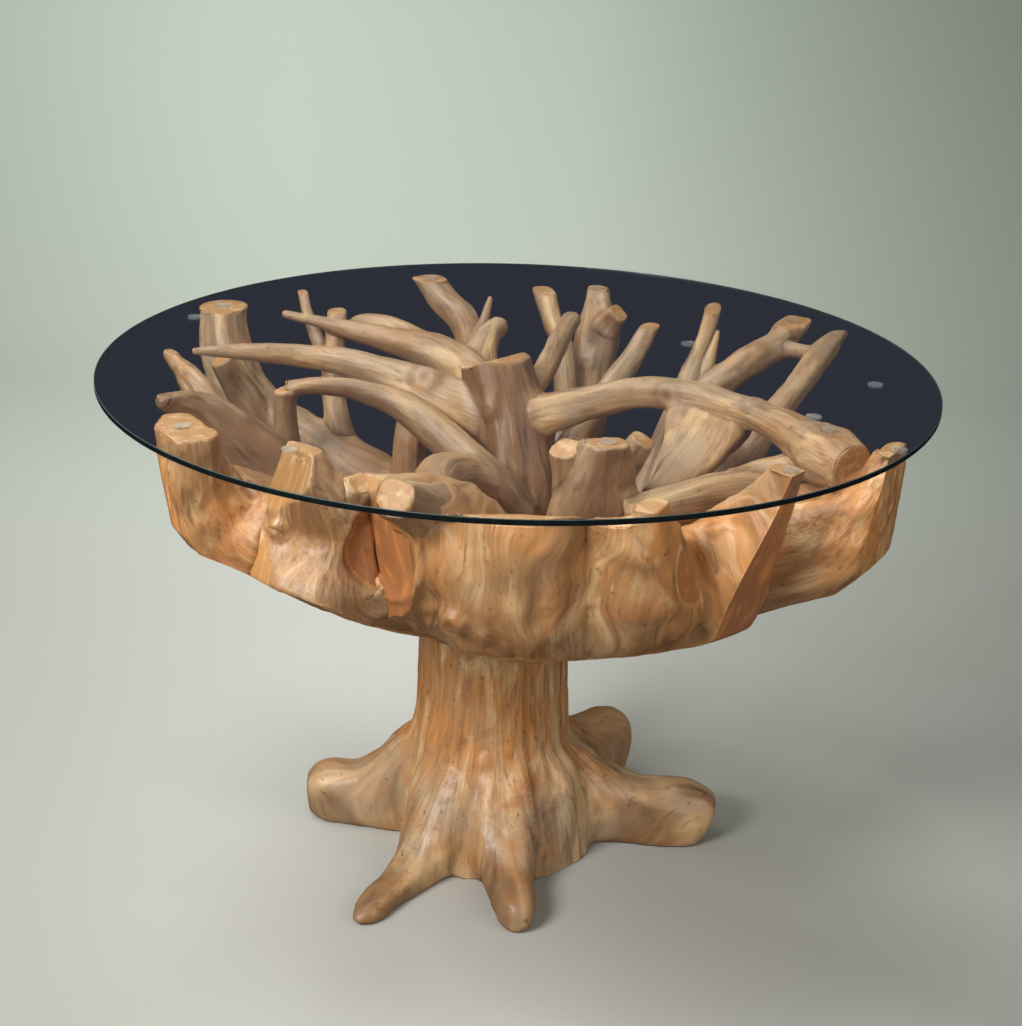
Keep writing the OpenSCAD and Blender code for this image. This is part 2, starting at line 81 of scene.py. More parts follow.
class Noise:
    """Smooth gradient noise in three directions, the same in each run."""

    def __init__(self, seed: int) -> None:
        """Draws the lattice's directions.

        Args:
            seed: what fixes them.
        """
        rng = np.random.default_rng(seed)
        self.order = np.tile(rng.permutation(256), 3)
        self.slopes = unit(rng.normal(size=(256, 3)))

    def at(self, p: np.ndarray) -> np.ndarray:
        """Noise of about -0.7 to 0.7 at points p, with one swell per unit of length.

        A value is the mix, by an eased weight along each axis, of the eight slopes at the corners of the
        unit cell round the point.

        Args:
            p: points, shape (n, 3).
        Returns:
            values, shape (n,).
        """
        cell = np.floor(p).astype(int)
        rest = p - cell
        w = rest ** 3 * (rest * (rest * 6 - 15) + 10)
        total = np.zeros(len(p))
        for corner in np.ndindex(2, 2, 2):
            c = (cell + corner) % 256
            slope = self.slopes[self.order[self.order[self.order[c[:, 0]] + c[:, 1]] + c[:, 2]]]
            weight = np.prod(np.where(corner, w, 1 - w), axis=1)
            total += weight * np.einsum("ij,ij->i", slope, rest - corner)
        return total * 1.4

    def folds(self, p: np.ndarray, octaves: int = 3) -> np.ndarray:
        """Sum of noises, each twice as fine and half as strong as the one before."""
        return sum(self.at(p * 2 ** k + 17.3 * k) / 2 ** k for k in range(octaves))

    def swells(self, p: np.ndarray, span: tuple[float, ...], octaves: int, start: float = 0.0) -> np.ndarray:
        """Folds whose widest swells have the given length along each axis."""
        return self.folds(p * (1 / np.array(span)) + start, octaves)


noise = Noise(7)


def tube_faces(rows: int, cols: int) -> tuple[np.ndarray, np.ndarray]:
    """Faces of rings of points, closed by a pole at each end.

    Quads lie between neighbouring rings. Triangles run from the first and the last ring to their poles,
    which are the two points after the rings.

    Args:
        rows: number of rings.
        cols: points in each ring.
    Returns:
        corners of the quads, and of the triangles.
    """
    k = np.arange(cols)
    nxt = (k + 1) % cols
    start = np.arange(rows - 1)[:, None] * cols
    base, step = (start + k).reshape(-1), (start + nxt).reshape(-1)
    quads = np.stack([base, step, step + cols, base + cols], 1)
    top = (rows - 1) * cols
    low = np.stack([nxt, k, np.full(cols, rows * cols)], 1)
    high = np.stack([top + k, top + nxt, np.full(cols, rows * cols + 1)], 1)
    return quads, np.concatenate([low, high])


@dataclass
class Path:
    """A smooth curve through stations of x, y, height, half width and half height."""

    stations: np.ndarray

    STEP = 0.02         # share of the length over which a direction is taken

    def at(self, t: np.ndarray) -> np.ndarray:
        """Catmull-Rom curve through all stations.

        Between the stations b and c, with a before and d after them, it is half the sum of 2b, of c less a
        times u, of 2a less 5b plus 4c less d times u squared, and of 3b less 3c plus d less a times u cubed.

        Args:
            t: shares of the length, 0 at the first station and 1 at the last.
        Returns:
            what the stations hold, at each t, along a last axis.
        """
        p = self.stations
        n = len(p) - 1
        s = np.clip(np.floor(t * n), 0, n - 1).astype(int)
        u = (t * n - s)[..., None]
        a, b, c, d = p[np.maximum(s - 1, 0)], p[s], p[s + 1], p[np.minimum(s + 2, n)]
        square, cube = 2 * a - 5 * b + 4 * c - d, 3 * b - 3 * c + d - a
        return 0.5 * (2 * b + (c - a) * u + square * u ** 2 + cube * u ** 3)

    def axes(self, t: np.ndarray) -> tuple[np.ndarray, np.ndarray, np.ndarray]:
        """Directions of the curve, each found from a short step on both sides.

        Args:
            t: shares of the length.
        Returns:
            the directions along the curve, level across it, and square to both, at each t.
        """
        after, before = self.at(np.minimum(t + self.STEP, 1)), self.at(np.maximum(t - self.STEP, 0))
        ahead = unit(after[..., :3] - before[..., :3])
        run = self.stations[-1, :2] - self.stations[0, :2]
        length = math.hypot(*run)
        side = np.array([0.0, 1.0, 0.0]) if length < 1 else np.array([-run[1], run[0], 0]) / length
        a = unit(side - (ahead @ side)[..., None] * ahead)
        return ahead, a, np.cross(ahead, a)

    def length(self) -> float:
        """Length of the curve in millimetres."""
        p = self.at(np.linspace(0, 1, 60))[:, :3]
        return float(np.linalg.norm(np.diff(p, axis=0), axis=1).sum())


@dataclass
class Root:
    """One root of the crown: a superellipse carried along a path, with its cuts and its tone."""

    name: str
    square: float
    carve: Carve
    tone: float
    stations: tuple[tuple[float, ...], ...]
    pitch: float = 3.6
    path: Path = field(init=False)
    points: np.ndarray = field(init=False)
    marks: dict[str, np.ndarray] = field(init=False, default_factory=dict)
    shape: tuple[int, int] = field(init=False)

    ROWS = (22, 170)        # fewest and most rings along a root
    COLS = (20, 132)        # fewest and most points in a ring
    GIRTH = 5.6             # way round a root, as a share of its mean half width
    LEAN = (0.55, 0.45)     # share of the length where rings start to lean to a level end, and the rest
    SAW_ROUND = 2.2         # worn arris of a sawn end
    THIN = 11.0             # half width below which an end is rounded off as a tip
    TIP_ROUND = 0.85        # rounding of a tip, as a share of its half width
    TIP_DOME = 0.12         # how far the tip bulges past that, as a share of the rounding

    def __post_init__(self) -> None:
        """Lifts the stations from the top of the trunk to the floor's zero."""
        p = np.array(self.stations, float)
        p[:, 2] += CROWN_Z
        self.path = Path(p)

    def section(self, t: np.ndarray, angle: np.ndarray) -> np.ndarray:
        """Points of the skin, before its far end is closed.

        A point lies off the curve by half width times cosine across and half height times sine square to
        that, both times the radius of a superellipse of power square.

        Args:
            t: shares of the length.
            angle: angles round the root, as many as there are shares.
        Returns:
            the points, along a last axis.
        """
        q = self.path.at(t)
        _, a, b = self.path.axes(t)
        c, s = np.cos(angle), np.sin(angle)
        m = (np.abs(c) ** self.square + np.abs(s) ** self.square) ** (-1 / self.square)
        return q[..., :3] + a * (q[..., 3] * c * m)[..., None] + b * (q[..., 4] * s * m)[..., None]

    def build(self) -> None:
        """Works out the skin as rows of rings, closed by a pole at each end.

        Rows run along the root. Where a tip passes the plane of the clear discs, each line along the root
        ends at that plane, so the sawn face is level. The last rows round the arris and close the face, or
        round off a thin tip.
        """
        size = self.path.stations[:, 3:]
        rows = int(np.clip(self.path.length() / self.pitch, *self.ROWS))
        cols = int(np.clip(self.GIRTH * size.mean() / self.pitch, *self.COLS))
        angle = np.broadcast_to(2 * np.pi * (np.arange(cols) + 0.5) / cols, (rows, cols))
        t = np.broadcast_to(np.linspace(0, 1, rows)[:, None], (rows, cols))
        height = self.section(t, angle)[..., 2]
        level = bool(height[-1].mean() > SEAT_Z - 2)
        if level:
            t = self._lean(t, height)
        wall = self.section(t, angle)
        if level:
            wall[-1, :, 2] = SEAT_Z
        ahead = np.array([0, 0, 1.0]) if level else self.path.axes(np.array([1.0]))[0][0]
        thin = size[-1].min() < self.THIN and not level
        arris, face, pole = self._close(wall[-1], ahead, size[-1], thin)
        if not thin:
            wall = wall[:-1]
        grid = np.concatenate([wall, arris, face])
        self.shape = grid.shape[:2]
        self.points = np.concatenate([grid.reshape(-1, 3), np.stack([wall[0].mean(0), pole])])
        sawn = np.zeros(self.shape)
        if not thin:
            sawn[-len(face) - 1:] = 1
            sawn[-len(face) - 2] = 0.5
        self._mark(np.concatenate([t[:len(wall)], np.ones((len(grid) - len(wall), cols))]), sawn)

    def _lean(self, t: np.ndarray, height: np.ndarray) -> np.ndarray:
        """Draws each line along the root back to where it meets the plane of the clear discs.

        Args:
            t: shares of the length, in rows of rings.
            height: height of the skin at each.
        Returns:
            the shares, which lean to the new ends more and more past the middle of the root.
        """
        rows, cols = t.shape
        after = np.clip(np.argmax(height >= SEAT_Z, axis=0), 1, rows - 1)
        pick = np.arange(cols)
        low, high = height[after - 1, pick], height[after, pick]
        part = np.clip((SEAT_Z - low) / np.maximum(high - low, 1e-6), 0, 1)
        end = np.where(height.max(0) >= SEAT_Z, (after - 1 + part) / (rows - 1), 1)
        start, rest = self.LEAN
        return t - (1 - end) * np.clip((t - start) / rest, 0, 1) ** 1.4

    def _close(self, rim: np.ndarray, ahead: np.ndarray, size: np.ndarray,
               thin: bool) -> tuple[np.ndarray, np.ndarray, np.ndarray]:
        """Rows that close the far end, with a worn arris and a flat face, or as a rounded tip.

        At an angle from 0 to a quarter turn, the arris goes inwards by its rounding times 1 less the cosine
        and ahead by its rounding times the sine. The face runs on from it straight to the pole.

        Args:
            rim: last ring of the wall.
            ahead: the way that the end faces.
            size: half width and half height there.
            thin: whether the end is a rounded tip.
        Returns:
            rows of the arris, rows of the face, and the pole.
        """
        middle = rim.mean(0)
        worn = self.TIP_ROUND * size.min() if thin else self.SAW_ROUND
        inward = unit(middle - rim)
        arris = np.stack([rim + inward * worn * (1 - math.cos(g)) + ahead * worn * (math.sin(g) - 1)
                          for g in np.linspace(0, np.pi / 2, 6 if thin else 4)])
        if thin:
            arris += ahead * worn
        rings = max(3, int(size.mean() / self.pitch / 1.3))
        share = np.linspace(0, 1, rings + 1)[1:-1, None, None]
        face = arris[-1] + (middle + ahead * (worn if thin else 0) - arris[-1]) * share
        if thin:
            face += ahead * self.TIP_DOME * worn * np.sin(share * np.pi / 2)
        return arris, face, middle + ahead * ((1 + self.TIP_DOME) * worn if thin else 0)

    def _mark(self, shares: np.ndarray, sawn: np.ndarray) -> None:
        """Keeps the straightened place and the sawn share of each point, and starts its other marks.

        Args:
            shares: share of the length at each point of the rings.
            sawn: 1 on a sawn face and 0 on the skin, at each point of the rings.
        """
        t = np.concatenate([shares.reshape(-1), [0.0, 1.0]])
        q = self.path.at(t)
        ahead, a, b = self.path.axes(t)
        off = self.points - q[:, :3]
        along = t * self.path.length() + (off * ahead).sum(1)
        self.marks = {
            "place": np.stack([(off * a).sum(1), (off * b).sum(1), along], 1),
            "sawn": np.concatenate([sawn.reshape(-1), [0.0, sawn[-1, 0]]]),
            "crease": np.zeros(len(t)), "carved": np.zeros(len(t)), "heart": np.zeros(len(t)),
        }

    def faces(self) -> tuple[np.ndarray, np.ndarray]:
        """Corners of the skin's quads and of the triangles at its poles."""
        return tube_faces(*self.shape)

    def normals(self) -> np.ndarray:
        """Outward direction at each point: the sum of the directions of the faces round it.

        Returns:
            directions of length one, shape (n, 3).
        """
        quads, tris = self.faces()
        p, total = self.points, np.zeros_like(self.points)
        for corners, first, last in ((quads, (0, 2), (1, 3)), (tris, (0, 1), (0, 2))):
            one, two = (p[corners[:, to]] - p[corners[:, at]] for at, to in (first, last))
            across = np.cross(one, two)
            for k in range(corners.shape[1]):
                np.add.at(total, corners[:, k], across)
        return unit(total)


class Reach:
    """Rough distance from points to one root, worked out on short straight stretches of its path."""

    STRETCHES = 26
    GROW = 1.3          # how far the box reaches past the path, as a share of the half width

    def __init__(self, root: Root) -> None:
        """Samples the root's path, its axes and its section, and keeps its saw cuts.

        Args:
            root: the root.
        """
        t = np.linspace(0, 1, self.STRETCHES + 1)
        q = root.path.at(t)
        self.place, self.half = q[:, :3], np.maximum(q[:, 3:], 1.0)
        self.ahead, self.a, self.b = root.path.axes(t)
        self.square = root.square
        grow = self.half.max(1)[:, None] * self.GROW
        self.low, self.high = (self.place - grow).min(0), (self.place + grow).max(0)
        self.girth = float(self.half.mean())
        self.cuts = [(np.array(at, float) + [0, 0, CROWN_Z], unit(np.array(way, float)))
                     for name, at, way in CUTS if name == root.name]

    def near(self, p: np.ndarray, margin: float) -> np.ndarray:
        """Indices of the points within margin of the root's box."""
        return np.flatnonzero(((p > self.low - margin) & (p < self.high + margin)).all(1))

    def gap(self, p: np.ndarray) -> np.ndarray:
        """Distance from each point to the skin, below 0 inside.

        The nearest stretch gives the axes and the section there. The distance is the distance to the axis
        less the section's radius in that direction, and past an end the overshoot takes over.

        Args:
            p: points.
        Returns:
            their distances in millimetres.
        """
        start, run = self.place[:-1], np.diff(self.place, axis=0)
        off = p[:, None] - start[None]
        u = np.clip(np.einsum("psk,sk->ps", off, run) / np.maximum((run ** 2).sum(1), 1e-6), 0, 1)
        far = ((off - u[..., None] * run) ** 2).sum(2)
        s = far.argmin(1)
        rows = np.arange(len(p))
        u = u[rows, s][:, None]
        mix = [v[s] * (1 - u) + v[s + 1] * u for v in (self.place, self.half, self.a, self.b, self.ahead)]
        centre, half, a, b, ahead = mix
        off = p - centre
        x, y, z = (off * a).sum(1), (off * b).sum(1), (off * ahead).sum(1)
        share = (np.abs(x) / half[:, 0]) ** self.square + (np.abs(y) / half[:, 1]) ** self.square
        share = share ** (1 / self.square)
        radius = np.hypot(x, y)
        inside = np.where(radius > 1, radius - radius / np.maximum(share, 1e-3), -half.min(1))
        skin = np.where(np.abs(z) > 0.5, np.maximum(inside, np.abs(z)), inside)
        for at, facing in self.cuts:
            skin = np.maximum(skin, (p - at) @ facing)
        return skin


class Bowl:
    """The carved underside of the crown: a tilted profile of straight stretches turned round an axis."""

    def __init__(self) -> None:
        """Works out the tilt and the profile's stretches."""
        x, y = BOWL_TILT
        turn_x = np.array([[1, 0, 0], [0, math.cos(x), -math.sin(x)], [0, math.sin(x), math.cos(x)]])
        turn_y = np.array([[math.cos(y), 0, math.sin(y)], [0, 1, 0], [-math.sin(y), 0, math.cos(y)]])
        self.turn = turn_y @ turn_x
        self.profile = np.array(BOWL, float)

    def clamp(self, p: np.ndarray, proud: float, soft: float = 5.0) -> tuple[np.ndarray, np.ndarray]:
        """Moves points outside the bowl onto it.

        In the bowl's own frame a point becomes its distance from the axis and its height. Outside the
        profile it goes to the nearest place on it, and just inside it gives way softly, which wears the
        arris between the carved face and the rest.

        Args:
            p: points.
            proud: how far the bowl is grown.
            soft: width of the worn arris.
        Returns:
            The moved points, and how far each lay outside, eased to 0 inside.
        """
        base = np.array([BOWL_AT[0], BOWL_AT[1], CROWN_Z - proud])
        own = (p - base) @ self.turn
        radius = np.hypot(own[:, 0], own[:, 1])
        spot = np.stack([radius, own[:, 2]], 1)
        line = self.profile + [proud, 0]
        start, run = line[:-1], np.diff(line, axis=0)
        off = spot[:, None] - start[None]
        u = np.clip((off * run).sum(2) / (run ** 2).sum(1), 0, 1)
        near = start + u[..., None] * run
        far = np.linalg.norm(spot[:, None] - near, axis=2)
        s = far.argmin(1)
        rows = np.arange(len(p))
        best = near[rows, s]
        normal = unit(np.stack([run[s, 1], -run[s, 0]], 1))
        side = ((spot - best) * normal).sum(1)
        depth = np.where(side > 0, far[rows, s], -far[rows, s])
        push = 0.5 * (depth + np.sqrt(depth ** 2 + soft ** 2))
        push = np.where(depth > -3 * soft, push, 0) * ease(depth, -3 * soft, -1.5 * soft)
        away = np.where((far[rows, s] > 1e-3)[:, None], unit(spot - best) * np.sign(depth)[:, None], normal)
        moved = spot - away * push[:, None]
        scale = (moved[:, 0] / np.maximum(radius, 1e-6))[:, None]
        own = np.concatenate([own[:, :2] * scale, moved[:, 1:]], 1)
        return own @ self.turn.T + base, ease(depth, -2, 6)


PROUD_KNOT = 15        # a knot that stands out further shows a dark end


def knot(p: np.ndarray, at: tuple[float, ...], radius: float,
         lift: float) -> tuple[np.ndarray, np.ndarray]:
    """A knot's form and shade.

    At a distance of d radii the lift is a stub, 1 over 1 plus 1.1 d to the 6th, less a pit, e to the -6 d
    squared. A knot that stands out far has a dark end, 1 over 1 plus 1.5 d to the 8th.

    Args:
        p: points.
        at: middle of the knot.
        radius: its radius.
        lift: how far it stands out.
    Returns:
        how far it lifts each point, and how dark it makes it.
    """
    d = np.linalg.norm(p - np.array(at, float), axis=1) / radius
    stub, pit = 1 / (1 + (1.1 * d) ** 6), np.exp(-6 * d ** 2)
    end = 0.9 / (1 + (1.5 * d) ** 8) if lift > PROUD_KNOT else 0.8 * pit
    return lift * (stub - 0.3 * pit), np.maximum(end, 0.4 * np.exp(-12 * (d - 1.2) ** 2))


def oval(points: np.ndarray, at: tuple[float, float, float],
         half: tuple[float, float, float]) -> tuple[np.ndarray, np.ndarray]:
    """Distance from an oval's middle in its half lengths, and a weight that falls to 0 past its depth."""
    x, y, z = ((points - np.array(at, float)) / np.array(half, float)).T
    return np.hypot(x, z), 1 - ease(np.abs(y), 0.8, 1.0)


def hollow(p: np.ndarray, at: tuple[float, ...], half: tuple[float, ...], depth: float) -> np.ndarray:
    """How far a hollow lowers each point: depth times e to the -1.4 d squared, with d in half lengths."""
    return depth * np.exp(-1.4 * (((p - np.array(at, float)) / np.array(half, float)) ** 2).sum(1))


class Skin(Enum):
    """Names of the mesh attributes that the finishes read."""

    GRAIN = "grain"
    SAWN = "sawn"
    # Darkening: painted shade, with dark knots and joint lines
    CREASE = "crease"
    TONE = "tone"


def placed(across: np.ndarray, above: np.ndarray, back: np.ndarray, place: tuple[float, ...]) -> Matrix:
    """Placement of a camera or lamp.

    Args:
        across: its own X direction.
        above: its own Y direction.
        back: its own Z direction, away from what it faces.
        place: where it stands, in metres.
    Returns:
        the matrix of its four columns.
    """
    turn = np.eye(4)
    turn[:3] = np.stack([across, above, back, place], 1)
    return Matrix(turn.tolist())


def mesh_object(name: str, points: np.ndarray, loops: list[np.ndarray]) -> bpy.types.Object:
    """Makes a smooth-shaded object at the origin.

    Args:
        name: its name.
        points: its points, in millimetres.
        loops: arrays of faces, each of one number of corners.
    Returns:
        the object, in the scene.
    """
    mesh = bpy.data.meshes.new(name)
    mesh.vertices.add(len(points))
    mesh.vertices.foreach_set("co", (points * MM).astype(np.float32).reshape(-1))
    sizes = np.concatenate([np.full(len(f), f.shape[1]) for f in loops])
    corners = np.concatenate([f.reshape(-1) for f in loops])
    mesh.loops.add(len(corners))
    mesh.loops.foreach_set("vertex_index", corners.astype(np.int32))
    mesh.polygons.add(len(sizes))
    mesh.polygons.foreach_set("loop_start", np.concatenate([[0], np.cumsum(sizes)[:-1]]).astype(np.int32))
    mesh.polygons.foreach_set("use_smooth", np.ones(len(sizes), bool))
    mesh.update(calc_edges=True)
    mesh.validate()
    obj = bpy.data.objects.new(name, mesh)
    bpy.context.scene.collection.objects.link(obj)
    return obj


def paint(obj: bpy.types.Object, skin: Skin, values: np.ndarray) -> None:
    """Stores one number or one vector for each point of an object's mesh.

    Args:
        obj: the object.
        skin: the attribute that takes them.
        values: the numbers, shape (n,), or the vectors, shape (n, 3).
    """
    kind = "FLOAT_VECTOR" if values.ndim == 2 else "FLOAT"
    layer = obj.data.attributes.new(skin.value, kind, "POINT")
    layer.data.foreach_set("vector" if values.ndim == 2 else "value", values.astype(np.float32).reshape(-1))


